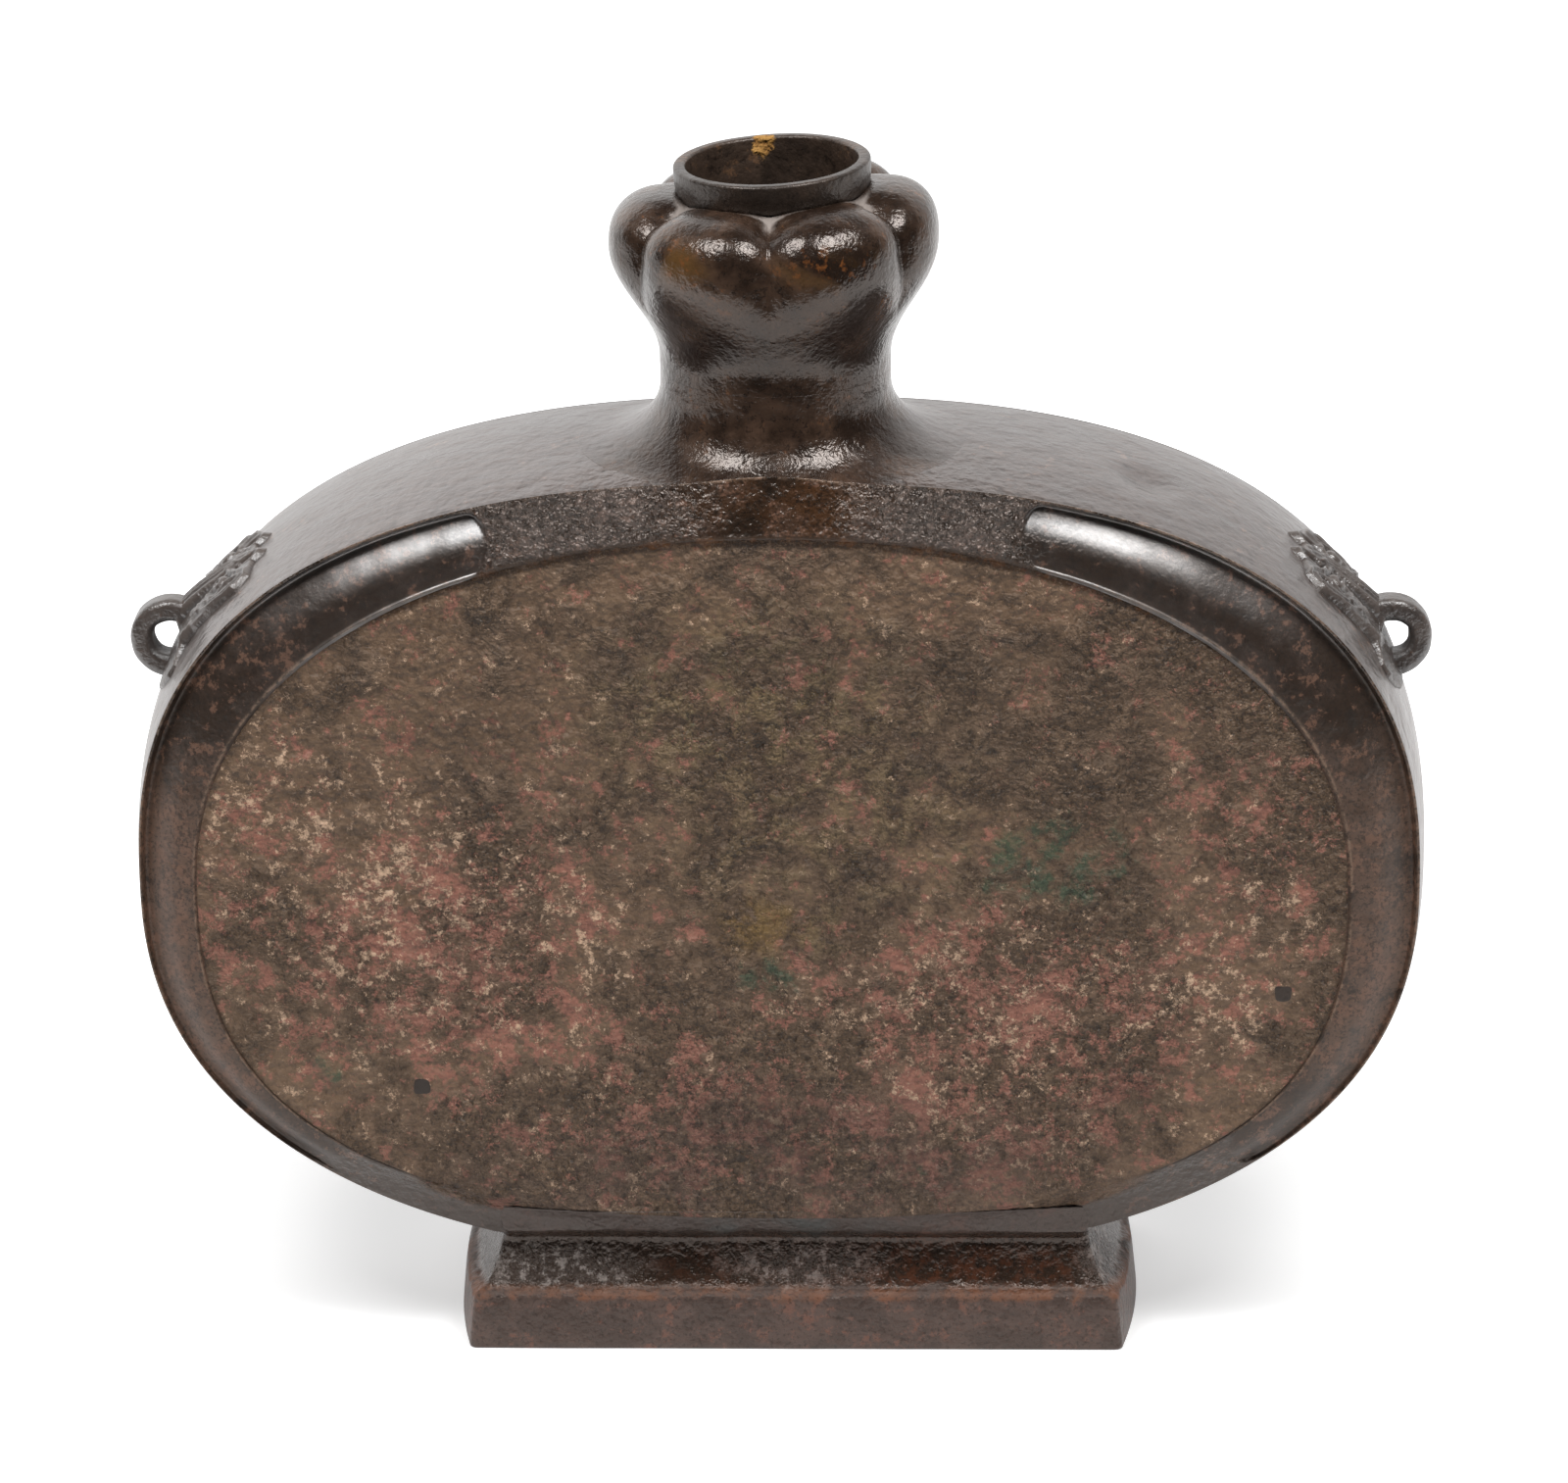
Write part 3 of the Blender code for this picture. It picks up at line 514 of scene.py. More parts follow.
def panel_shader(place):
    """Matt face: olive and umber in clouds, pink-red and cream flecks in drifts, green spots."""
    cloud, blotch, mottle, fleck, speck, grain, pit = noises(
        place, (17.0, 5.0, 0.55, 0.3), (62.0, 7.0, 0.64, 0.4), (150.0, 8.0, 0.68, 0.2),
        (190.0, 10.0, 0.82), (350.0, 10.0, 0.84), (2300.0, 2.0, 0.6), (900.0, 3.0, 0.6))
    relief = noise(place, 420.0, 2.0, 0.6) * 0.35 + pit * 0.40 + grain * 0.25
    upper = on_face(place, (-5, 48, 62, 40, 1.0), (15, 18, 60, 40, 0.8), (5, -8, 24, 14, 0.9))
    drifts = on_face(place, (-82, -12, 70, 52, 1.0), (62, -32, 92, 44, 1.0),
                     (-20, -62, 100, 40, 0.75), (40, -60, 70, 34, 0.9), (-120, 6, 40, 60, 0.6),
                     (118, 5, 32, 60, 0.6))
    warm = (drifts * 0.70 + (blotch - 0.5) * 2.0 + (mottle - 0.5) * 1.8).step(0.35, 0.95)
    red = (fleck + drifts * 0.075 + (blotch - 0.5) * 0.35).step(0.575, 0.595)
    cream = speck + drifts * 0.06 + (mottle - 0.5) * 0.30 + (cloud - 0.5) * 0.2
    soot = noise(place, 240.0, 9.0, 0.80) + (0.5 - blotch) * 0.40 - drifts * 0.04
    soot = soot.step(0.55, 0.59)
    # Painted reflection: a greyer mauve haze low on the panel, for the pale floor seen in it.
    painted_floor_haze = patch(place, (0, -38, -80), (150, 70, 46)) * blotch.step(0.36, 0.56)
    ochre = patch(place, (-4, -38, -8), (16, 70, 11)) * mottle.step(0.38, 0.56)
    dark = on_face(place, (-5, -62, 34, 20, 1.0), (-70, 42, 40, 12, 0.7), (88, -48, 22, 12, 0.8),
                   (20, 60, 90, 10, 0.7), (10, -72, 110, 16, 0.8))
    greens = on_face(place, (68, 8, 44, 26, 1.0), (-2, -22, 15, 11, 1.0), (-20, 45, 5, 5, 0.9),
                     (35, -73, 4, 4, 1.0), (-108, -50, 28, 20, 0.7))
    green = (greens * 0.45 + (mottle - 0.5) * 1.2 + (fleck - 0.5) * 0.6).step(0.36, 0.54)
    coarse = (cloud + (blotch - 0.5) * 0.8).step(0.58, 0.40)
    ground = (cloud * 0.4 + blotch * 0.4 + mottle * 0.2).step(0.44, 0.56)
    colour = layered(
        ground.mix((0.114, 0.073, 0.046), (0.196, 0.126, 0.081)),
        (mottle.step(0.50, 0.62) * 0.5, (0.265, 0.176, 0.114)),
        (upper * mottle.step(0.44, 0.60) * 0.7, (0.235, 0.168, 0.085)),
        (warm * 0.45, (0.185, 0.100, 0.070)), (red * 0.90, (0.375, 0.165, 0.120)),
        (cream.step(0.610, 0.628) * 0.95, (0.700, 0.480, 0.330)),
        (soot * 0.45, (0.036, 0.023, 0.016)), (painted_floor_haze * 0.45, (0.092, 0.064, 0.056)),
        (ochre * 0.6, (0.250, 0.145, 0.040)),
        (dark * mottle.step(0.40, 0.58) * 0.6, (0.028, 0.020, 0.015)),
        (green * 0.75, (0.034, 0.086, 0.050)), *edge_rust_and_shade(place, mottle),
        # Painted shade in the low spots of the relief and painted light on its crests; part of the
        # relief is the noise that also lifts the bump.
        (relief.step(0.480, 0.41) * (coarse * 0.40 + 0.28), (0.020, 0.011, 0.006)),
        (relief.step(0.515, 0.58) * 0.35, (0.260, 0.172, 0.115)))
    height = bumps(place, 150.0, 0.30) + bumps(place, 420.0, 0.75) * (coarse * 0.6 + 0.4)
    height = height + bumps(place, 850.0, 0.55) * (coarse * 0.5 + 0.5)
    roughness = 0.46 - soot * 0.12 + (pit - 0.5) * 0.4
    return bronze(place, colour, roughness, height, 1.33)


def band_shader(place):
    """Dark glossy grooves and pitted bevels; brown with red drifts down the sides."""
    groove, lip = mark(place, "groove"), mark(place, "lip")
    cloud, blotch, fleck, grain, fine, crust = noises(
        place, (22.0, 5.0, 0.55, 0.3), (80.0, 7.0, 0.62, 0.4), (360.0, 8.0, 0.72),
        (1500.0, 5.0, 0.65), (950.0, 3.0, 0.6), (560.0, 4.0, 0.62))
    sides = on_face(place, (-150, -20, 60, 95, 1.0), (150, -20, 60, 95, 1.0), y=-36, deep=90)
    brown = (sides * 0.7 + (cloud - 0.5) * 1.2 + (blotch - 0.5) * 1.2).step(0.15, 0.75)
    rusty = patch(place, (4, -36, 97), (46, 60, 22)) * (cloud * 0.5 + blotch * 0.5).step(0.44, 0.58)
    red = (fleck + sides * 0.06 + (blotch - 0.5) * 0.5).step(0.565, 0.625)
    black = (noise(place, 230.0, 7.0, 0.7) + (0.5 - blotch) * 0.5).step(0.57, 0.66)
    worn = lip * (blotch + fleck - 0.5).step(0.36, 0.58)
    crusted = on_face(place, (-48, 97, 42, 24, 1.0), (44, 97, 36, 24, 1.0), y=-36, deep=60)
    bare = 1 - groove
    blobs = (crust + (blotch - 0.5) * 0.5 + crusted * 0.07).step(0.52, 0.60) * bare
    edge, sole = mark(place, "edge"), mark(place, "sole")
    colour = layered(
        brown.mix((0.026, 0.014, 0.008), (0.125, 0.072, 0.048)),
        (rusty * 0.8, (0.085, 0.036, 0.014)),
        (blotch.step(0.48, 0.64) * 0.6, (0.052, 0.033, 0.025)),
        (red * 0.75, (0.185, 0.096, 0.062)), (black * 0.7, (0.014, 0.011, 0.009)),
        (worn * 0.8, (0.270, 0.180, 0.125)), (crusted * bare * 0.45, (0.098, 0.074, 0.062)),
        # Pale crust on the raised blobs of the bevels, partly a painted highlight on their tops.
        (blobs * crusted * 0.45, (0.230, 0.175, 0.150)),
        ((fine * 0.6 + grain * 0.4).step(0.50, 0.42) * 0.65, (0.010, 0.007, 0.005)),
        # Over the foot the band is greyed: painted light from the pale floor that it faces.
        *edge_rust_and_shade(place, noise(place, 150.0, 8.0, 0.68, 0.2)), (sole * 0.7, (0.066, 0.052, 0.046)))
    roughness = 0.14 + blotch * 0.16 + fleck * 0.10 + sides * 0.12 + edge * 0.35 + groove * 0.14
    roughness = roughness + sole * 0.2
    rough = crusted * 0.8 + bare * 0.20 + 0.06
    height = bumps(place, 165.0, 0.08) * (bare * 0.7 + 0.3) + bumps(place, 400.0, 0.62) * rough
    height = height + bumps(place, 850.0, 0.40) * (rough + groove * 0.10) + blobs * crusted * (0.3 * MM)
    waxed = on_face(place, (-90, 84, 75, 45, 1.0), (95, 84, 80, 48, 1.0), y=-36, deep=60)
    coat = groove * waxed * (blotch.step(0.35, 0.6) * 0.4 + 0.6)
    shiny = bronze(place, colour, roughness, height, 1.65, (1.0, 0.90, 0.84), coat)
    over_foot = (mark(place, "low") + (blotch - 0.5) * 0.5).step(0.30, 0.70)
    return place.node("MixShader", {}, {0: over_foot, 1: shiny, 2: panel_shader(place)})


def wall_shader(place):
    """Skin of the wall: grey-brown streaks along the rim, browner by the neck, pinkish flecks."""
    blotch, fleck, grain, pit = noises(place, (70.0, 7.0, 0.62, 0.4), (360.0, 8.0, 0.72),
                                       (1500.0, 5.0, 0.65), (430.0, 3.0, 0.6))
    stretched = place.node("Mapping", {}, {"Vector": place, "Scale": (0.12, 1.0, 0.12)})
    streak = noise(stretched, 620.0, 6.0, 0.62)
    by_neck = patch(place, (0, -34, 106), (75, 45, 40))
    black = (fleck + (0.5 - blotch) * 0.5 - by_neck * 0.05).step(0.44, 0.34)
    ground = (streak * 0.6 + blotch * 0.4).step(0.40, 0.60)
    colour = layered(
        ground.mix((0.040, 0.030, 0.026), (0.078, 0.058, 0.049)),
        (by_neck * (blotch.step(0.34, 0.58) * 0.5 + 0.5), (0.055, 0.027, 0.014)),
        ((fleck + (blotch - 0.5) * 0.6).step(0.63, 0.70) * 0.55, (0.26, 0.155, 0.11)),
        (black * 0.7, (0.014, 0.011, 0.009)),
        ((pit * 0.6 + grain * 0.4).step(0.46, 0.39) * 0.6, (0.012, 0.009, 0.007)))
    roughness = streak * 0.22 + blotch * 0.18 + 0.12 + by_neck * 0.05
    height = streak * (0.1 * MM) + bumps(place, 120.0, 0.06)
    height = height + bumps(place, 430.0, 0.14) * (0.5 + by_neck)
    return bronze(place, colour, roughness, height, 2.3, (1.0, 0.93, 0.91))


def hollowed(piece, hollow_mesh, bore, depth):
    """Cut a closed hollow and a round bore into a piece, then drop both cutters."""
    hole = bpy.data.meshes.new("bore")
    shape = bmesh.new()
    bmesh.ops.create_cone(shape, cap_ends=True, segments=ROUND_STEPS, radius1=bore, radius2=bore,
                          depth=depth)
    bmesh.ops.translate(shape, vec=(0.0, 0.0, BODY_HEIGHT + RISE), verts=shape.verts)
    shape.to_mesh(hole)
    shape.free()
    cutters = [bpy.data.objects.new("cutter", mesh) for mesh in (hollow_mesh, hole)]
    for cutter in cutters:
        bpy.context.scene.collection.objects.link(cutter)
        cut = piece.modifiers.new("cut", "BOOLEAN")
        cut.operation, cut.solver, cut.object = "DIFFERENCE", "EXACT", cutter
    whole = piece.evaluated_get(bpy.context.evaluated_depsgraph_get())
    mesh = bpy.data.meshes.new_from_object(whole)
    piece.modifiers.clear()
    piece.data = mesh
    for cutter in cutters:
        bpy.data.objects.remove(cutter)


def inside_mesh():
    """Smooth closed hollow of the drum, a wall's thickness inside its rim and panels."""
    x, z, _, _ = rim_point(np.linspace(0.0, TURN, ROUND_STEPS, endpoint=False))
    rings = [np.stack([x * scale, depth * MM + 0 * x, BODY_HEIGHT + z * scale], -1)
             for depth, scale in HOLLOW_ROWS]
    return mesh_of("hollow", *capped(np.stack(rings)))


rings, marks = body_surface()
body = capped_piece("flask_body", rings + [0.0, 0.0, BODY_HEIGHT], marks)
for name, shader in (("panel_patina", panel_shader), ("band_patina", band_shader),
                     ("wall_patina", wall_shader)):
    body.data.materials.append(material_of(name, shader))
rows, columns = rings.shape[:2]
panel_rows = len(EDGE_ROWS) + len(PANEL_ROWS)
face_rows = panel_rows + len(BAND_ROWS) - 1
row_zone = np.ones(rows - 1, np.int32)
row_zone[:panel_rows], row_zone[-panel_rows:], row_zone[face_rows:-face_rows] = 0, 0, 2
face_zone = np.append(np.repeat(row_zone, columns), np.zeros(2 * columns, np.int32))
body.data.polygons.foreach_set("material_index", face_zone)
hollowed(body, inside_mesh(), NECK_BORE, BORE_DEPTH)
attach(body, "root")
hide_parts("body_shell")

# Neck: a short tube, cast with the body. Its base flares out over the shoulder, as far as the
# rim in front and farther to both sides, and runs into it without a step.
SEAM = BODY_HEIGHT + RISE + 19.3 * MM
SEAM_GROOVE = 0.02 * MM


def glossy_shader(place, dark, brown, red, gloss=0.10, dust=None, rusty=None):
    """Dark polished bronze: two browns in clouds, thin red-brown wear, fine pits and a sheen.

    The head also has rust and pale dust, each as a share.
    """
    cloud, blotch, fleck, pit, grain = noises(
        place, (38.0, 5.0, 0.6, 0.5), (110.0, 7.0, 0.62, 0.3), (420.0, 7.0, 0.7),
        (560.0, 3.0, 0.6), (1700.0, 4.0, 0.65))
    ground = (cloud * 0.65 + blotch * 0.35).step(0.42, 0.62).mix(dark, brown)
    wear = (blotch * 0.55 + fleck * 0.45 + (cloud - 0.5) * 0.35).step(0.58, 0.64)
    roughness = gloss + (blotch * 0.16 + fleck * 0.10)
    layers = [(wear * 0.75, red),
              ((pit * 0.6 + grain * 0.4).step(0.47, 0.39) * 0.6, (0.008, 0.005, 0.004))]
    if rusty:
        layers += [(rusty * cloud.step(0.40, 0.60) * 0.9, (0.120, 0.060, 0.018)),
                   (rusty * fleck.step(0.52, 0.64) * 0.8, (0.200, 0.070, 0.020))]
    if dust:
        dust = (dust + (fleck - 0.5) * 0.8).step(0.25, 1.0)
        layers.append((dust * 0.75, (0.380, 0.330, 0.300)))
        roughness = roughness + dust * 0.4
    height = bumps(place, 140.0, 0.03) + bumps(place, 480.0, 0.05) + bumps(place, 1000.0, 0.09)
    return bronze(place, layered(ground, *layers), roughness, height, 1.6, (1.0, 0.90, 0.84))


def neck_surface():
    """Flare, from its edge in to the tube; then up to the seam and down inside."""
    turn = np.linspace(0.0, TURN, 288, endpoint=False)
    right, front = np.sin(turn), -np.cos(turn)
    limit = (RIM_Y - 0.05 * MM) / np.maximum(np.abs(front), 1e-6) - NECK_RADIUS
    reach = np.minimum(1.0, limit / flare_reach(right))
    start = np.arcsin(1 - reach)
    rings = []
    for share in np.concatenate([[0.0, 0.004], np.linspace(0.03, 1.0, 33)]):
        sine = np.sin(start + (TURN / 4 - start) * share)
        away = NECK_RADIUS + flare_reach(right) * (1 - sine)
        x, y = away * right, away * front
        top = oval_height(x, HALF_WIDTH, RISE, RISE_POWER)
        base = BODY_HEIGHT + top + crown(y) - 0.02 * MM
        rings.append(np.stack([x, y, base + neck_rise(x, y)], 1))
    edge = rings[0] - np.array([0.0, 0.0, 1.6 * MM])
    last = rings[-1]
    for share in (0.2, 0.4, 0.6, 0.8, 0.985, 0.993, 1.0):
        z = last[:, 2] + (SEAM - last[:, 2]) * share
        rings.append(np.stack([NECK_RADIUS * right, NECK_RADIUS * front, z - SEAM_GROOVE], 1))
    foot_of_bore = BODY_HEIGHT + RISE - 6 * MM + 0 * turn
    inside_seam = NECK_RADIUS - SEAM_GROOVE
    for radius, height in ((inside_seam, SEAM + 0 * turn), (NECK_BORE, SEAM + 0 * turn),
                           (NECK_BORE, foot_of_bore),
                           (NECK_BORE + 1 * MM, foot_of_bore)):
        rings.append(np.stack([radius * right, radius * front, height], 1))
    return np.stack([edge] + rings)


HEAD_COLOURS = (0.020, 0.011, 0.007), (0.086, 0.050, 0.033), (0.165, 0.070, 0.030)


def neck_shader(place):
    """The wall's grey skin at the edge of the flare, dark polished bronze above it."""
    height = axis(place, "Z") + (noise(place, 60.0) - 0.5) * 0.014 + axis(place, "Y") * -0.35
    share = height.step(SEAM - 20 * MM, SEAM - 6 * MM)
    return place.node("MixShader", {}, {0: share, 1: wall_shader(place),
                                        2: glossy_shader(place, *HEAD_COLOURS)})


neck = ring_piece("flask_neck", neck_surface())
neck.data.materials.append(material_of("neck_patina", neck_shader))
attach(neck, "root")
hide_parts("neck")

# Garlic head: a hollow cast bulb of six lobes. Creases run down between the lobes from the
# collar and fade over the belly. A faint seam shows where it sits on the neck.
HEAD_RADIUS, SEAT_RADIUS = 39.5 * MM, 24.2 * MM
HEAD_PLAIN, HEAD_BELLY, HEAD_HEIGHT = 2.8 * MM, 30.9 * MM, 44.2 * MM
CREASE_DEPTH, HEAD_POWER, HEAD_STEPS = 4.6 * MM, 2.5, 46
LEAN = math.tan(math.radians(2.4))


def head_profile(count):
    """Radius and height up the head: a cosine ease to the belly, then a superellipse."""
    rise = np.concatenate([np.array([0.0, 2.0, 4.0, 8.0]) * SEAM_GROOVE,
                           np.linspace(0.5 * MM, HEAD_BELLY, count - 4)])
    swell = np.clip((rise - HEAD_PLAIN) / (HEAD_BELLY - HEAD_PLAIN), 0.0, 1.0)
    radius = NECK_RADIUS + (HEAD_RADIUS - NECK_RADIUS) * (0.5 - 0.5 * np.cos(math.pi * swell))
    turn = np.linspace(0.0, TURN / 4, count)[1:]
    over_radius = SEAT_RADIUS + (HEAD_RADIUS - SEAT_RADIUS) * np.cos(turn) ** (2 / HEAD_POWER)
    over_rise = HEAD_BELLY + (HEAD_HEIGHT - HEAD_BELLY) * np.sin(turn) ** (2 / HEAD_POWER)
    return np.concatenate([radius, over_radius]), np.concatenate([rise, over_rise])


def head_surface():
    """Each ring is pushed in along the profile's normal by CREASE_DEPTH (1 - |sin 3a|)^1.8."""
    turn = np.linspace(0.0, TURN, 360, endpoint=False)
    right, front = np.sin(turn), -np.cos(turn)
    radius, rise = head_profile(HEAD_STEPS)
    along_r, along_z = np.gradient(radius), np.gradient(rise)
    length = np.hypot(along_r, along_z)
    out_r, out_z = along_z / length, -along_r / length
    crease = (1 - np.abs(np.sin(3 * turn))) ** 1.8
    depth = CREASE_DEPTH * ease(rise, 0.34 * HEAD_HEIGHT, 0.74 * HEAD_HEIGHT)
    over = np.arange(len(rise)) >= HEAD_STEPS
    depth = depth * np.where(over, 0.55 + 0.45 * ease(radius, SEAT_RADIUS, SEAT_RADIUS + 4 * MM), 1.0)
    push = depth[:, None] * crease
    seam = SEAM_GROOVE * np.exp(-(rise / SEAM_GROOVE) ** 2)[:, None]
    reach = radius[:, None] - push * out_r[:, None] - seam
    height = rise[:, None] - push * out_z[:, None]
    x, y = reach * right, reach * front
    swell = 0.12 * MM * unevenness(x, y, height, 26 * MM, 2)
    x, y = x + swell * right, y + swell * front
    lift = np.clip(height / HEAD_HEIGHT, 0.0, 1.0) ** 2
    outer = np.stack([x, y, SEAM + height + x * LEAN * lift], -1)
    rings = [outer]
    inner_rise = np.array([0.985, 0.90, 0.78, 0.66, 0.56, 0.46, 0.35, 0.2, 0.1, 0.0]) * HEAD_HEIGHT
    inner_radius = np.array([21.3, 21.3, 21.3, 23.6, 27.0, 28.5, 28.0, 26.0, 25.0, NECK_BORE / MM]) * MM
    for up, wide in zip(inner_rise, inner_radius):
        x, y = wide * right, wide * front
        rings.append(np.stack([x, y, SEAM + up + x * LEAN * (up / HEAD_HEIGHT) ** 2], -1)[None])
    by_collar = np.exp(-((radius - SEAT_RADIUS) / (1.1 * MM)) ** 2) * (rise > HEAD_BELLY)
    dusty = by_collar[:, None] * (0.35 + 0.9 * crease) + 0.9 * ease(push / MM, 1.6, 3.6) * ease(
        radius, SEAT_RADIUS + 7 * MM, SEAT_RADIUS)[:, None] * (rise > HEAD_BELLY)[:, None]
    return np.concatenate(rings), np.pad(dusty, ((0, len(rings) - 1), (0, 0)))


def head_shader(place):
    """Dark polished bronze with rusty clouds under the lobes, and pale dust by the collar."""
    return glossy_shader(place, *HEAD_COLOURS, dust=mark(place, "dust"), rusty=patches(
        place, (((-24, -34, 157), (15, 24, 7), 1.0), ((14, -37, 157), (16, 24, 7), 1.0))))


head_rings, dust = head_surface()
head = ring_piece("garlic_bulb", head_rings, {"dust": dust})
head.data.materials.append(material_of("head_patina", head_shader))
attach(head, "root")
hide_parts("garlic_head")

# Collar: a plain ring round the mouth, cast with the head and leaning a little to the left.
# Its edges are worn round, and a yellow-ochre deposit clings inside it.
COLLAR_RADIUS, COLLAR_BORE, COLLAR_HEIGHT = 23.55 * MM, 20.6 * MM, 5.9 * MM
COLLAR_SEAT = SEAM + HEAD_HEIGHT + 0.3 * MM


def collar_surface():
    """Profile round the leaning axis: worn outer edge, flat top, inner edge and a deep bore."""
    turn = np.linspace(0.0, TURN, 240, endpoint=False)
    bend = np.linspace(0.0, TURN / 4, 7)
    soft = 0.8 * MM
    outer = [(COLLAR_RADIUS - 0.5 * MM, -1.2 * MM), (COLLAR_RADIUS - 0.35 * MM, 0.2 * MM),
             (COLLAR_RADIUS - 0.1 * MM, 1.6 * MM), (COLLAR_RADIUS, 3.2 * MM)]
    outer += [(COLLAR_RADIUS - soft * (1 - math.cos(a)), COLLAR_HEIGHT - soft * (1 - math.sin(a)))
              for a in bend]
    outer += [(COLLAR_BORE + soft * (1 - math.sin(a)), COLLAR_HEIGHT - soft * (1 - math.cos(a)))
              for a in bend]
    outer += [(COLLAR_BORE, 2.0 * MM), (COLLAR_BORE, -7.0 * MM), (COLLAR_BORE, -14.0 * MM),
              (COLLAR_BORE + 0.5 * MM, -14.0 * MM), (COLLAR_BORE + 0.5 * MM, -2.0 * MM)]
    profile = np.array(outer)
    x = profile[:, :1] * np.sin(turn)
    y = -profile[:, :1] * np.cos(turn)
    wave = 0.10 * MM * unevenness(x, y, profile[:, 1:], 24 * MM, 5)
    z = profile[:, 1:] + 0 * turn + wave * (profile[:, 1:] > 1 * MM)
    return np.stack([x - z * LEAN, y, COLLAR_SEAT + z + x * LEAN], -1)


def collar_shader(place):
    """Glossy bronze with yellow-ochre earth in one patch on the back of the inner wall."""
    shiny = glossy_shader(place, (0.022, 0.015, 0.011), (0.065, 0.042, 0.030), (0.16, 0.085, 0.045),
                          gloss=0.26)
    grit = noise(place, 420.0, 7.0, 0.7)
    spot = patch(place, (-3, 20.5, 171.5), (5, 4, 7))
    share = (spot + (grit - 0.5) * 1.6).step(0.55, 0.80)
    earth = bronze(place, grit.step(0.4, 0.6).mix((0.25, 0.110, 0.022), (0.46, 0.240, 0.060)),
                   0.8, bumps(place, 420.0, 0.6))
    return place.node("MixShader", {}, {0: share, 1: shiny, 2: earth})


collar = ring_piece("mouth_ring", collar_surface())
collar.data.materials.append(material_of("collar_patina", collar_shader))
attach(collar, "root")
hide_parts("mouth_collar")

# Foot: a hollow cast plinth with bowed ends under a concave waist that runs all round it.
# The body stands in its top.
FOOT_LENGTH, FOOT_DEPTH = 80.8 * MM, 38.2 * MM
FOOT_BOW, FOOT_WALL = 4.2 * MM, 4.0
FOOT_ROWS = [(0.5, 0.0), (0.12, 0.15), (0.0, 0.6), (0.1, 2.0), (0.5, 6.0), (0.9, 10.0), (1.3, 12.6),
             (1.7, 13.6), (2.3, 14.2), (3.2, 14.7)]
COVE_ROWS = np.array([27.2, 28.1, 29.0, 29.7, 30.2, 30.6, 31.2, 32.5, 34.0, 35.5, 37.0, 37.8]) * MM


def foot_ring(inset, corner, z, steps=13):
    """Rounded rectangle inside the foot's base line, whose two ends bow outwards."""
    long, deep = FOOT_LENGTH - inset, FOOT_DEPTH - inset
    bend = np.linspace(0.0, TURN / 4, steps)
    x = np.concatenate([np.full(14, long), long - corner * (1 - np.cos(bend)),
                        (long - corner) * np.linspace(1.0, 0.0, 56)[1:]])
    y = np.concatenate([(deep - corner) * np.linspace(0.0, 1.0, 15)[:-1],
                        deep - corner * (1 - np.sin(bend)), np.full(55, deep)])
    x = np.concatenate([x, -x[-2::-1], -x[1:], x[-2:0:-1]])
    y = np.concatenate([y, y[-2::-1], -y[1:], -y[-2:0:-1]])
    bow = FOOT_BOW * (1 - (y / deep) ** 2) * (x / long) ** 3
    return np.stack([x + bow + FOOT_SHIFT, y, z + 0 * x], -1)


def under_body(x, y):
    """Height of the drum's underside."""
    return BODY_HEIGHT - oval_height(x, HALF_WIDTH, DROP, DROP_POWER) - crown(y)


def face_depth(x, z):
    """Depth of the drum's face over the foot: a curved slope from its rim to its panel."""
    rim = BODY_HEIGHT - oval_height(x, HALF_WIDTH, DROP, DROP_POWER)
    panel = BODY_HEIGHT - oval_height(x - PANEL_SHIFT, PANEL_HALF_WIDTH, PANEL_DROP, PANEL_DROP_POWER)
    return RIM_Y + (PANEL_Y - RIM_Y) * np.clip((z - rim) / (panel - rim), 0.0, 1.0) ** SLOPE_POWER


def foot_surface():
    """Profile of insets and heights: worn base edge, battered face, worn arris, then a hollow.

    In front and behind, the hollow comes out again to an arris level with the drum's face. The
    hollow runs in by 5.4 t and up by 11.8 t^1.7, in millimetres.
    """
    rows = FOOT_ROWS + [(3.2 + 5.4 * t, 14.7 + 11.8 * t ** 1.7) for t in np.linspace(0.0, 1.0, 15)[1:]]
    outer = np.stack([foot_ring(i * MM, 1.6 * MM, z * MM) for i, z in rows])
    waist = outer[-1]
    side = np.abs(waist[:, 1])
    cove = []
    for z in COVE_ROWS:
        ring = waist.copy()
        ring[:, 2] = z
        reach = np.interp(z / MM, (26.5, 27.2, 29.0, 30.2, 30.9, 38.0), (0.0, 0.6, 2.7, 4.1, 4.7, 9.3))
        out = side + reach * MM * ease(side, 20 * MM, 29 * MM)
        limit = np.maximum(face_depth(ring[:, 0], z) - 0.02 * MM, side)
        ring[:, 1] = np.sign(waist[:, 1]) * np.minimum(out, limit)
        cove.append(ring)
    inner = np.stack([foot_ring((i + FOOT_WALL) * MM, 2.0 * MM, z * MM) for i, z in rows[::-3]]
                     + [foot_ring((FOOT_WALL + 0.5) * MM, 2.0 * MM, 0.0)])
    roof = under_body(inner[..., 0], np.clip(inner[..., 1], -RIM_Y, RIM_Y)) + 1.3 * MM
    inner[..., 2] = np.minimum(inner[..., 2], roof)
    points = np.concatenate([outer, np.stack(cove), inner])
    x, y, z = points[..., 0], points[..., 1], points[..., 2]
    wave = 0.14 * MM * unevenness(x, y, z, 40 * MM, 3)
    points[..., 1] -= np.sign(y) * (np.abs(wave) + 0.1 * MM)
    return points


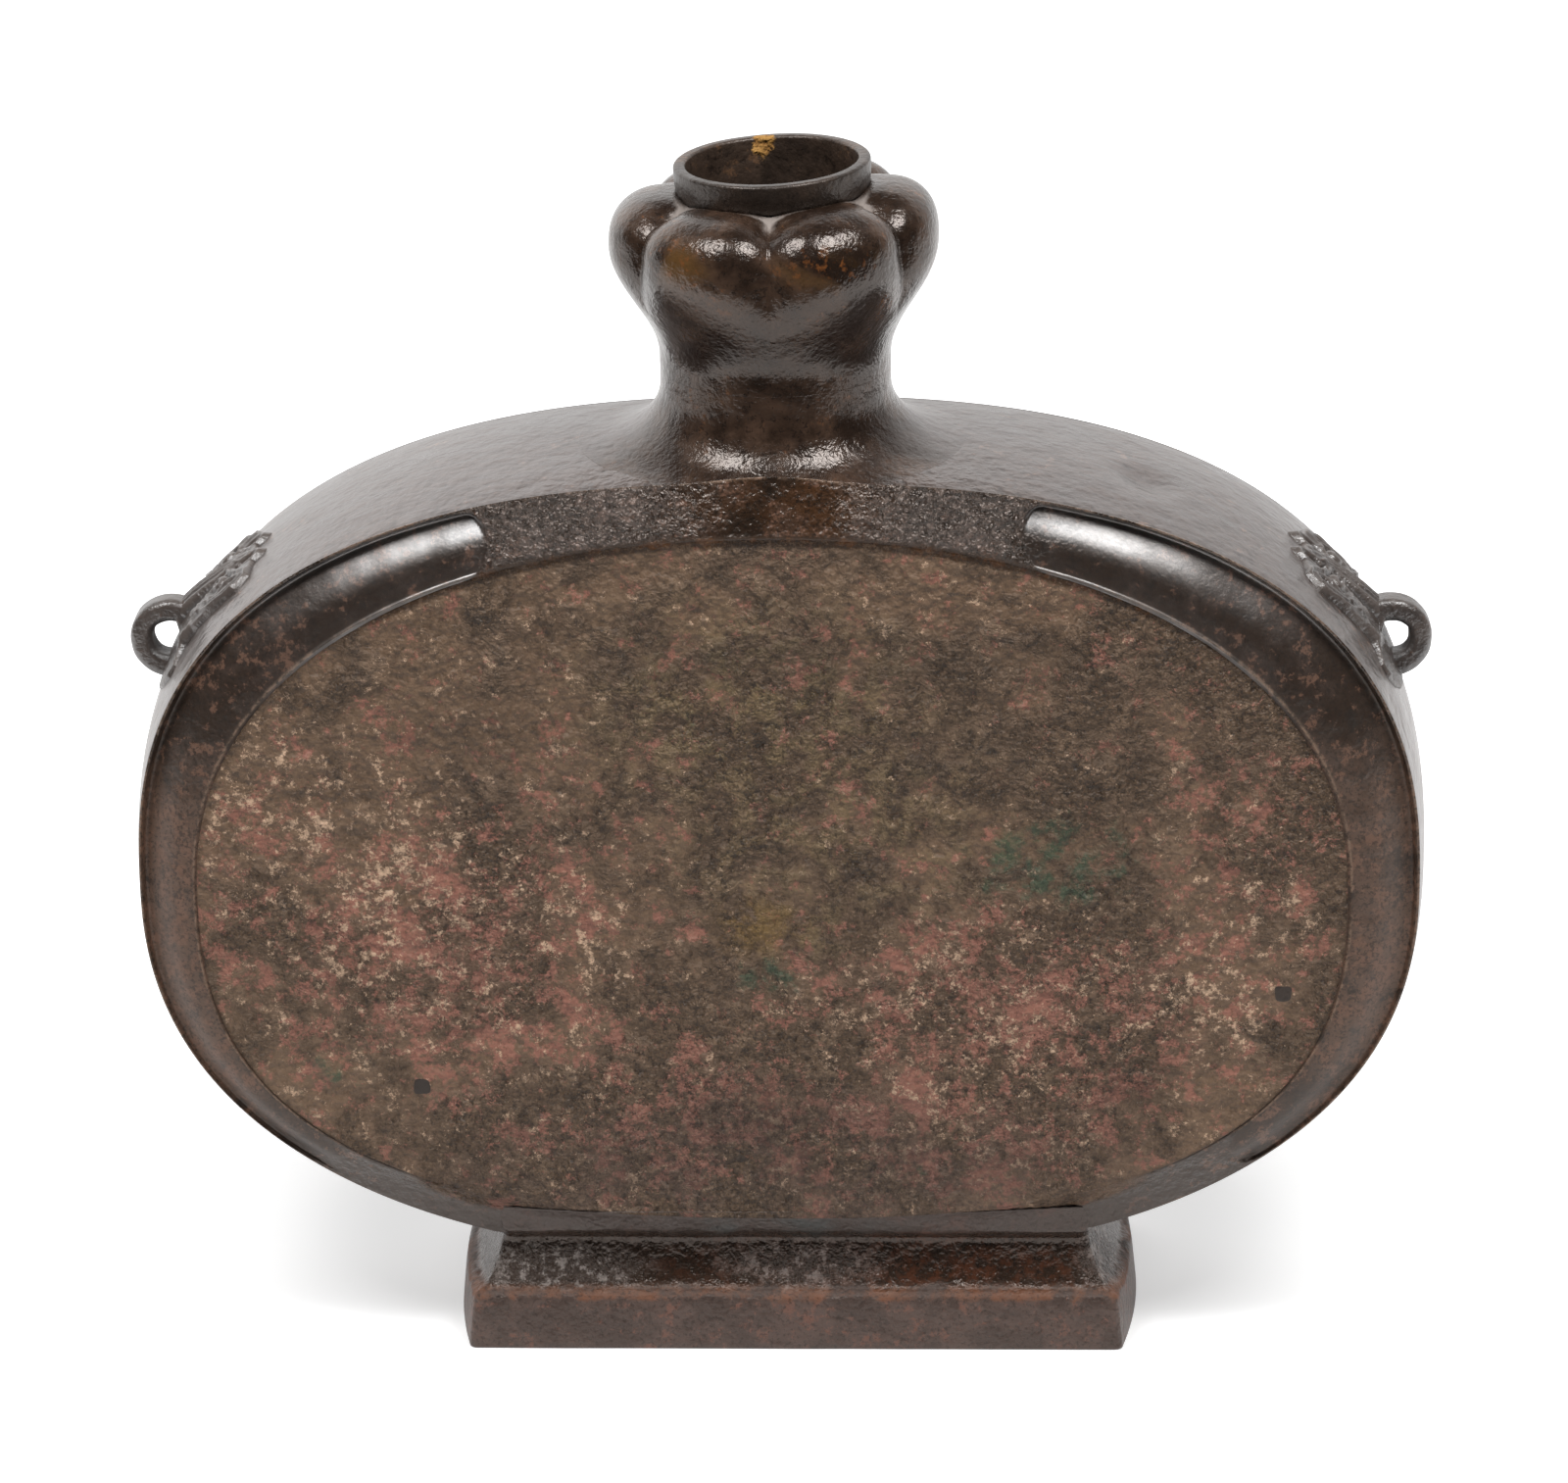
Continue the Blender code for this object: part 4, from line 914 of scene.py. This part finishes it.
def foot_shader(place):
    """Matt brown plinth, a glossy black and red-brown hollow with pale specks of grain painted as
    glints, and a cove painted grey by light from the pale floor.
    """
    up = axis(place, "Z")
    blotch, fleck, pit = noises(place, (80.0, 7.0, 0.64, 0.3), (330.0, 8.0, 0.74), (900.0, 3.0, 0.6))
    level = up + (blotch - 0.5) * 0.008
    hollow = level.step(14.0 * MM, 15.5 * MM) * level.step(31.5 * MM, 29.0 * MM)
    redder = patch(place, (30, -36, -101), (95, 40, 12)) * hollow * fleck.step(0.44, 0.60)
    arris = level.step(12.6 * MM, 13.8 * MM) * level.step(16.5 * MM, 14.8 * MM)
    cove = up.step(29.0 * MM, 31.0 * MM)
    tint = patch(place, (0, -36, -90), (40, 40, 8)) * blotch.step(0.40, 0.60)
    glint_patches = patches(place, (((-55, -36, -102), (28, 20, 9), 1.0), ((5, -36, -101), (28, 20, 8), 0.8),
                             ((80, -30, -100), (10, 30, 12), 0.8)))
    colour = layered(
        blotch.step(0.42, 0.58).mix((0.058, 0.037, 0.030), (0.096, 0.062, 0.051)),
        ((fleck + (blotch - 0.5) * 0.5).step(0.55, 0.64) * 0.6, (0.210, 0.090, 0.062)),
        (hollow * 0.9, (0.026, 0.014, 0.008)), (redder * 0.85, (0.100, 0.034, 0.016)),
        (arris * blotch.step(0.40, 0.60) * 0.8, (0.170, 0.062, 0.026)),
        # Painted light: the cove is greyed for the pale floor that lights it from below.
        (cove * 0.6, (0.066, 0.054, 0.049)), (tint * 0.6, (0.040, 0.064, 0.066)),
        (pit.step(0.46, 0.38) * 0.5, (0.014, 0.009, 0.007)),
        # Painted glints: pale specks on the grain of the hollow where it would catch the softboxes.
        (glint_patches * hollow * fleck.step(0.50, 0.58) * 0.75, (0.420, 0.370, 0.340)))
    height = bumps(place, 150.0, 0.06) + bumps(place, 480.0, 0.12)
    height = height + bumps(place, 900.0, 0.55) * (glint_patches * hollow * 1.3 + 0.25)
    roughness = 0.46 - hollow * 0.20 + arris * 0.20 + (blotch - 0.5) * 0.3
    return bronze(place, colour, roughness, height, 1.6, (1.0, 0.88, 0.81))


foot = ring_piece("flask_foot", foot_surface())
foot.data.materials.append(material_of("foot_patina", foot_shader))
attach(foot, "root")
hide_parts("foot")

# Animal masks: one on each shoulder, cast on. Each has hollow ears, curled brows, pierced eyes,
# a ridged snout, scaled cheeks and a jaw that runs down under the loop.
MASK_CREST, MASK_REACH = 75.2 * MM, 20.6 * MM
MASK_START = TABLE_LENGTH[np.argmin(np.abs(TABLE_Z[:RIM_STEPS // 4] - MASK_CREST))]
MASK_TOP, MASK_END = 3.6, 44.5
BROWS = ((((11.5, 3.2), (8.5, 9.6), (5.4, 12.6), (4.8, 15.6), (7.6, 18.0), (12, 18.0), (17, 16.4),
           (21, 13.2), (20, 10.6)), 0.62, 0.75),
         (((13.5, 12.2), (8.6, 12.4), (6.6, 14.2), (8.2, 16.0), (12.5, 15.8), (16.6, 14.2),
           (18.6, 11.8)), 0.55, 0.65))
SCALES = ((19.8, 10.6), (4.3, 3.5)), ((25.4, 7.6), (3.6, 2.9)), ((26.4, 13.0), (3.2, 2.6))
PITS = (((9.4, 14.2), (2.6, 1.3), 0.8, 0.6), ((13.6, 9.2), (1.0, 0.95), 2.2, 0.5),
        ((9.8, 4.4), (1.1, 0.9), 1.0, 0.6), ((27.4, 4.6), (1.5, 1.1), 0.9, 0.6))


def oval(a, b, spot, radii):
    """Share of the way from a spot to the edge of the ellipse round it."""
    return np.hypot((a - spot[0]) / radii[0], (b - spot[1]) / radii[1])


def mound(share, height):
    """Half an ellipsoid: height sqrt(1 - share^2)."""
    return height * np.sqrt(np.clip(1 - share ** 2, 0.0, 1.0))


def ridge(share, middle, width, height):
    """Rounded welt along the line where share equals middle: height exp(-((share-middle)/width)^2)."""
    return height * np.exp(-((share - middle) / width) ** 2)


def away_from(a, b, route):
    """Distance from each point to a line through a few points."""
    nearest = np.full(a.shape, 1e9)
    for (a0, b0), (a1, b1) in zip(route[:-1], route[1:]):
        along_a, along_b = a1 - a0, b1 - b0
        t = ((a - a0) * along_a + (b - b0) * along_b) / (along_a ** 2 + along_b ** 2)
        t = np.clip(t, 0.0, 1.0)
        nearest = np.minimum(nearest, np.hypot(a - a0 - t * along_a, b - b0 - t * along_b))
    return nearest


def mask_relief(a, b):
    """Height over the wall in millimetres, at a down from the crest and b from the middle.

    From the outside in: the edge, the ears, brows, eyes, scaled cheeks, snout and fine fibres.
    """
    half = np.interp(a, (MASK_TOP, 5, 9, 17, 25, 28, 30, 32.5, 36, 40, 43, MASK_END),
                     (9, 16, 19, 17.6, 15.6, 15.4, 16.6, 19.8, 20, 17, 11, 4))
    edge = np.minimum.reduce([half - b, (a - MASK_TOP) * 1.2, (MASK_END - a) * 1.2])
    level = np.interp(a, (0, 8, 20, 28, 31, MASK_END), (0.9, 1.2, 1.7, 1.9, 1.1, 0.5))
    tall = np.clip(edge / 1.1, -0.5, 1.0)
    height = level * np.sqrt(np.clip(1 - (1 - tall) ** 2, 0.0, 1.0)) + np.minimum(tall, 0.0)
    ear = oval(a, b, (6.0, 5.7), (6.0, 3.3))
    height = np.maximum(height, 1.9 * np.clip((1 - ear) * 3.0, -0.3, 0.9))
    height = height - 2.0 * ease(0.78 - oval(a, b, (6.4, 5.7), (6.0, 3.2)), 0.0, 0.32)
    for route, width, welt in BROWS:
        height = height + ridge(away_from(a, b, route), 0.0, width, welt)
    socket = oval(a, b, (13.4, 9.0), (4.2, 3.6))
    height = height - mound(socket, 0.9) + ridge(socket, 1.05, 0.14, 0.35)
    height = height + mound(oval(a, b, (13.3, 9.0), (2.7, 2.5)), 2.4)
    height = height + ridge(oval(a, b, (7.2, 1.6), (2.2, 1.5)), 0.9, 0.22, 0.5)
    for spot, radii in SCALES:
        scale = oval(a, b, spot, radii)
        height = height + 0.55 * ease(1.05 - scale, 0.0, 0.12) * (1 - 0.25 * scale)
        height = height + ridge(scale, 0.62, 0.10, 0.22) * (a > spot[0] - 1)
    for spot, radii, depth, soft in PITS:
        height = height - depth * ease(1 - oval(a, b, spot, radii), 0.0, soft)
    nose_height = np.interp(a, (7, 10, 16, 22, 26, 28.0, 29.4, 31),
                            (0, 0.8, 1.7, 2.7, 3.3, 3.2, 1.6, 0))
    bridge = np.clip(1 - (b / np.interp(a, (8, 18, 28), (2.9, 3.9, 4.9))) ** 4, 0.0, 1.0)
    height = height + nose_height * np.sqrt(bridge)
    folds = 0.34 * bridge * ease(a, 8, 12) * ease(a, 30, 27)
    height = height + folds * np.cos(TURN * b / 1.75)
    fibre = 0.16 * np.sin(TURN * (b * 0.62 + 0.05 * a * b / 10 + 0.12 * np.sin(a * 0.9)))
    return height + fibre * ease(a, 30.5, 33) * (height > 0.2)


def softened(values, rounds):
    """Values averaged with their neighbours again and again."""
    for _ in range(rounds):
        padded = np.pad(values, 1, mode="edge")
        values = (padded[1:-1, 1:-1] * 2 + padded[:-2, 1:-1] + padded[2:, 1:-1]
                  + padded[1:-1, :-2] + padded[1:-1, 2:]) / 6
    return values


def on_wall(side, along, y, height):
    """Point on the drum's wall: along the rim from the crest, at depth y, at a height over it."""
    length = MASK_START + along
    x, z, out_x, out_z = rim_point(angle_at(length))
    swing = crown(y) + height
    return np.stack([side * (x + out_x * swing), y + 0 * x, BODY_HEIGHT + z + out_z * swing], -1)


def mask_surface(side):
    """Grid of the relief, whose columns go on round underneath, inside the wall."""
    along = np.linspace(-0.6, 45.0, 190)[:, None]
    across = np.linspace(-MASK_REACH / MM, MASK_REACH / MM, 171)[None]
    relief = mask_relief(along + 0 * across, np.abs(across) + 0 * along)
    relief = softened(relief, 2)
    worn = 0.07 * unevenness(along * MM, across * MM, side, 5 * MM, 3 + side)
    relief = relief + worn * (relief > 0.1)
    relief = np.where(relief < 0.02, relief - 0.35, relief)
    top = on_wall(side, along * MM, across * MM, relief * MM)
    under = np.array([[MASK_REACH, 0.0, -MASK_REACH]])
    base = on_wall(side, along * MM, under, -1.1 * MM + 0 * along)
    # Painted shade and light: the hollow mark darkens the relief's hollows, and the worn mark lightens
    # its ridges.
    around = softened(relief, 14)
    marks = {"hollow": np.clip((around - relief) / 0.5, 0.0, 1.0),
             "worn": np.clip((relief - around) / 0.35, 0.0, 1.0)}
    marks = {key: np.pad(value, ((0, 0), (0, 3))) for key, value in marks.items()}
    return np.concatenate([top, base], 1), marks


def cast_on_shader(place):
    """Grey-brown bronze of the wall, black in the hollows, which is dark patina with painted shade, and
    paler on the ridges, which is rubbed wear with painted light.
    """
    hollow = mark(place, "hollow")
    blotch, fleck = noises(place, (120.0, 7.0, 0.62, 0.3), (480.0, 7.0, 0.7))
    colour = layered(
        blotch.step(0.38, 0.62).mix((0.048, 0.036, 0.031), (0.078, 0.058, 0.048)),
        (mark(place, "worn") * 0.55, (0.125, 0.098, 0.084)),
        (fleck.step(0.60, 0.70) * 0.5, (0.17, 0.085, 0.05)), (hollow * 0.9, (0.014, 0.010, 0.008)))
    roughness = 0.26 + blotch * 0.2 + hollow * 0.2
    return bronze(place, colour, roughness, bumps(place, 480.0, 0.09) + bumps(place, 1100.0, 0.10), 2.0)


CAST_ON = material_of("mask_patina", cast_on_shader)
for side, word in ((-1, "left"), (1, "right")):
    rings, marks = mask_surface(side)
    mask = capped_piece("animal_mask_" + word, rings, marks, side > 0)
    mask.data.materials.append(CAST_ON)
    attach(mask, "root")
    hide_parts("mask_" + word)

# Loops: a flat rounded bar bent into a ring and cast with each mask, smooth outside and rough
# in the hole. A cord or chain was tied to them.
LOOP_RADIUS, LOOP_THICK, LOOP_WIDE, LOOP_CORNER = 7.15 * MM, 5.7 * MM, 8.0 * MM, 2.0 * MM
LOOP_ALONG, LOOP_OUT = 33.4 * MM, 5.2 * MM


def loop_surface(side):
    """Rounded rectangle swept round an arc that starts and ends inside the wall."""
    x, z, out_x, out_z = rim_point(angle_at(np.array([MASK_START + LOOP_ALONG])))
    out = np.array([side * out_x[0], 0.0, out_z[0]])
    down = np.array([side * out_z[0], 0.0, -out_x[0]])
    middle = np.array([side * x[0], 0.0, BODY_HEIGHT + z[0]]) + out * LOOP_OUT
    arc = np.radians(np.linspace(-126.0, 126.0, 120))[:, None]
    bend = np.linspace(0.0, TURN / 4, 8)
    thick, wide = LOOP_THICK / 2 - LOOP_CORNER, LOOP_WIDE / 2 - LOOP_CORNER
    signs = ((1, 1), (-1, 1), (-1, -1), (1, -1), (1, 1))
    section = []
    for quarter, ((u, v), (next_u, next_v)) in enumerate(zip(signs[:-1], signs[1:])):
        turn = bend + quarter * TURN / 4
        last_u, last_v = LOOP_CORNER * math.cos(turn[-1]), LOOP_CORNER * math.sin(turn[-1])
        section += [(u * thick + LOOP_CORNER * math.cos(t), v * wide + LOOP_CORNER * math.sin(t))
                    for t in turn]
        section += [(thick * (u + (next_u - u) * s) + last_u, wide * (v + (next_v - v) * s) + last_v)
                    for s in (0.25, 0.5, 0.75)]
    section = np.array(section)
    radial = LOOP_RADIUS + section[:, 0] * (1 - 0.06 * np.cos(arc))
    across = section[:, 1]
    rough = unevenness(radial * np.cos(arc), across, radial * np.sin(arc), 5 * MM, side)
    inner = section[:, 0] < -0.3 * LOOP_THICK
    radial = radial + MM * np.where(inner, 0.20, 0.06) * rough
    points = (middle + (radial * np.cos(arc))[..., None] * out
              + (radial * np.sin(arc))[..., None] * down)
    points[..., 1] += across
    # The inside of the hole is darkened by the hollow mark: painted shade with dark patina.
    return points, {"hollow": 0.6 * inner + 0 * radial, "worn": 0 * radial}


for side, word in ((-1, "left"), (1, "right")):
    rings, marks = loop_surface(side)
    loop = capped_piece("loop_ring_" + word, rings, marks, side > 0)
    loop.data.materials.append(CAST_ON)
    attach(loop, "root")
    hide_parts("loop_" + word)

# Chaplets: small square bronze spacers that held the core during the pour. They show as
# darker squares, level with the front panel.
CHAPLET_SIDE = 4.4 * MM
CHAPLET_PLACES = ((-0.63, -0.59, "left"), (0.88, -0.30, "right"))


def chaplet_surface(x, z):
    """Irregular rounded square, from inside the wall to just over the panel."""
    turn = np.linspace(0.0, TURN, 48, endpoint=False)
    shape = (np.abs(np.cos(turn)) ** 4 + np.abs(np.sin(turn)) ** 4) ** -0.25
    shape = shape * (0.94 + 0.05 * np.sin(3 * turn + 40 * x / HALF_WIDTH))
    rings = []
    for share, lift in ((1.0, -1.0), (1.0, -0.05), (0.95, 0.03), (0.8, 0.04), (0.4, 0.04)):
        ring_x = x + CHAPLET_SIDE / 2 * share * shape * np.cos(turn)
        ring_z = z + CHAPLET_SIDE / 2 * share * shape * np.sin(turn)
        depth = PANEL_Y + panel_swell(ring_x, ring_z) + lift * MM
        rings.append(np.stack([ring_x, -depth, ring_z + BODY_HEIGHT], -1))
    return np.stack(rings)


for across, up, word in CHAPLET_PLACES:
    rings = chaplet_surface(across * PANEL_HALF_WIDTH, up * PANEL_DROP)
    plug = capped_piece("spacer_" + word, rings, {})
    plug.data.materials.append(material_of(
        "spacer_patina_" + word, glossy_shader, (0.022, 0.016, 0.013), (0.040, 0.027, 0.021),
        (0.08, 0.045, 0.03), gloss=0.5))
    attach(plug, "root")
    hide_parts("chaplet_" + word)

# Studio: a pale floor that fills the picture, two softboxes high in front and a dim room with
# a pale backdrop behind. The camera stands where the photograph's stood.
FLOOR_HALF, FLOOR_FRONT = 5.0, -0.33
LAMP_LIFT, LAMP_AWAY, LAMP_SIDE, LAMP_AIM = 58.0, 1.25, 0.45, 0.14


def seen(place):
    """1 for rays of the camera, of a mirror or through glass, and 0 for rays of diffuse light."""
    names = ("Is Camera Ray", "Is Glossy Ray", "Is Transmission Ray")
    camera, glossy, through = (place.node("LightPath", out=name) for name in names)
    return camera.most(glossy).most(through)


def floor_shader(place):
    """Pale matt floor that keeps a shadow; what is seen of it glows a little, to white far off."""
    away = place.node("VectorMath", {"operation": "LENGTH"}, {0: place}, out="Value")
    glow = seen(place) * away.step(0.17, 0.50).between(0.46, 1.0)
    return place.node("BsdfPrincipled", {}, {
        "Base Color": (0.80, 0.80, 0.80, 1.0), "Roughness": 1.0, "Specular IOR Level": 0.0,
        "Emission Color": glow.mix((0.0, 0.0, 0.0), (1.0, 1.0, 1.0)), "Emission Strength": 1.0})


corners = np.array([[-FLOOR_HALF, FLOOR_FRONT, 0.0], [FLOOR_HALF, FLOOR_FRONT, 0.0],
                    [FLOOR_HALF, FLOOR_HALF, 0.0], [-FLOOR_HALF, FLOOR_HALF, 0.0]])
floor = piece_of("floor", mesh_of("floor", corners, [np.array([[0, 1, 2, 3]])]))
floor.data.materials.append(material_of("floor_paper", floor_shader))


def softbox(name, azimuth, watts):
    """Square area light that looks at the flask; azimuth 0 is in front, positive to the right."""
    data = bpy.data.lights.new(name, "AREA")
    data.shape, data.size, data.size_y, data.energy = "RECTANGLE", LAMP_SIDE, LAMP_SIDE, watts
    lamp = bpy.data.objects.new(name, data)
    turn, lift = math.radians(azimuth), math.radians(LAMP_LIFT)
    toward = Vector((math.sin(turn) * math.cos(lift), -math.cos(turn) * math.cos(lift), math.sin(lift)))
    lamp.location = Vector((0.0, 0.0, LAMP_AIM)) + toward * LAMP_AWAY
    lamp.rotation_euler = toward.to_track_quat("Z", "Y").to_euler()
    bpy.context.scene.collection.objects.link(lamp)


softbox("softbox_left", -47.0, 9.0)
softbox("softbox_right", 47.0, 10.0)

world = bpy.data.worlds.new("studio")
bpy.context.scene.world = world
world.use_nodes = True
room = Paint(world.node_tree)
direction = room.node("TexCoord", out="Generated")
split = [axis(direction, letter) for letter in "XYZ"]
behind = split[1].step(0.05, 0.55)
low = split[2].step(0.92, 0.60)
level = 0.05 + behind * low * (1.25 - split[0] * 0.6)
camera_ray = room.node("LightPath", out="Is Camera Ray")
background = world.node_tree.nodes["Background"]
background.inputs["Strength"].default_value = 1.0
world.node_tree.links.new(camera_ray.most(level).socket, background.inputs["Color"])

PITCH, YAW, ROLL, DISTANCE = 0.36459, 0.03823, math.radians(-0.80), 1.6
AIM = Vector((0.763 * MM, 0.0, 24.93 * MM + BODY_HEIGHT))
FOCAL_PIXELS, PHOTO_WIDTH, SENSOR = 6648.9, 1600, 36.0

view = Vector((math.sin(YAW) * math.cos(PITCH), -math.cos(YAW) * math.cos(PITCH), math.sin(PITCH)))
right = Vector((math.cos(YAW), math.sin(YAW), 0.0))
up = view.cross(right)
turned_right = right * math.cos(ROLL) + up * math.sin(ROLL)
turned_up = up * math.cos(ROLL) - right * math.sin(ROLL)
camera = bpy.data.objects.new("camera", bpy.data.cameras.new("camera"))
camera.data.sensor_width, camera.data.lens = SENSOR, FOCAL_PIXELS * SENSOR / PHOTO_WIDTH
placing = Matrix.Identity(4)
for column, axis in enumerate((turned_right, turned_up, view, AIM + view * DISTANCE)):
    placing.col[column] = (*axis, float(column == 3))
camera.matrix_world = placing
bpy.context.scene.collection.objects.link(camera)
bpy.context.scene.camera = camera
bpy.context.scene.view_settings.view_transform = "Standard"
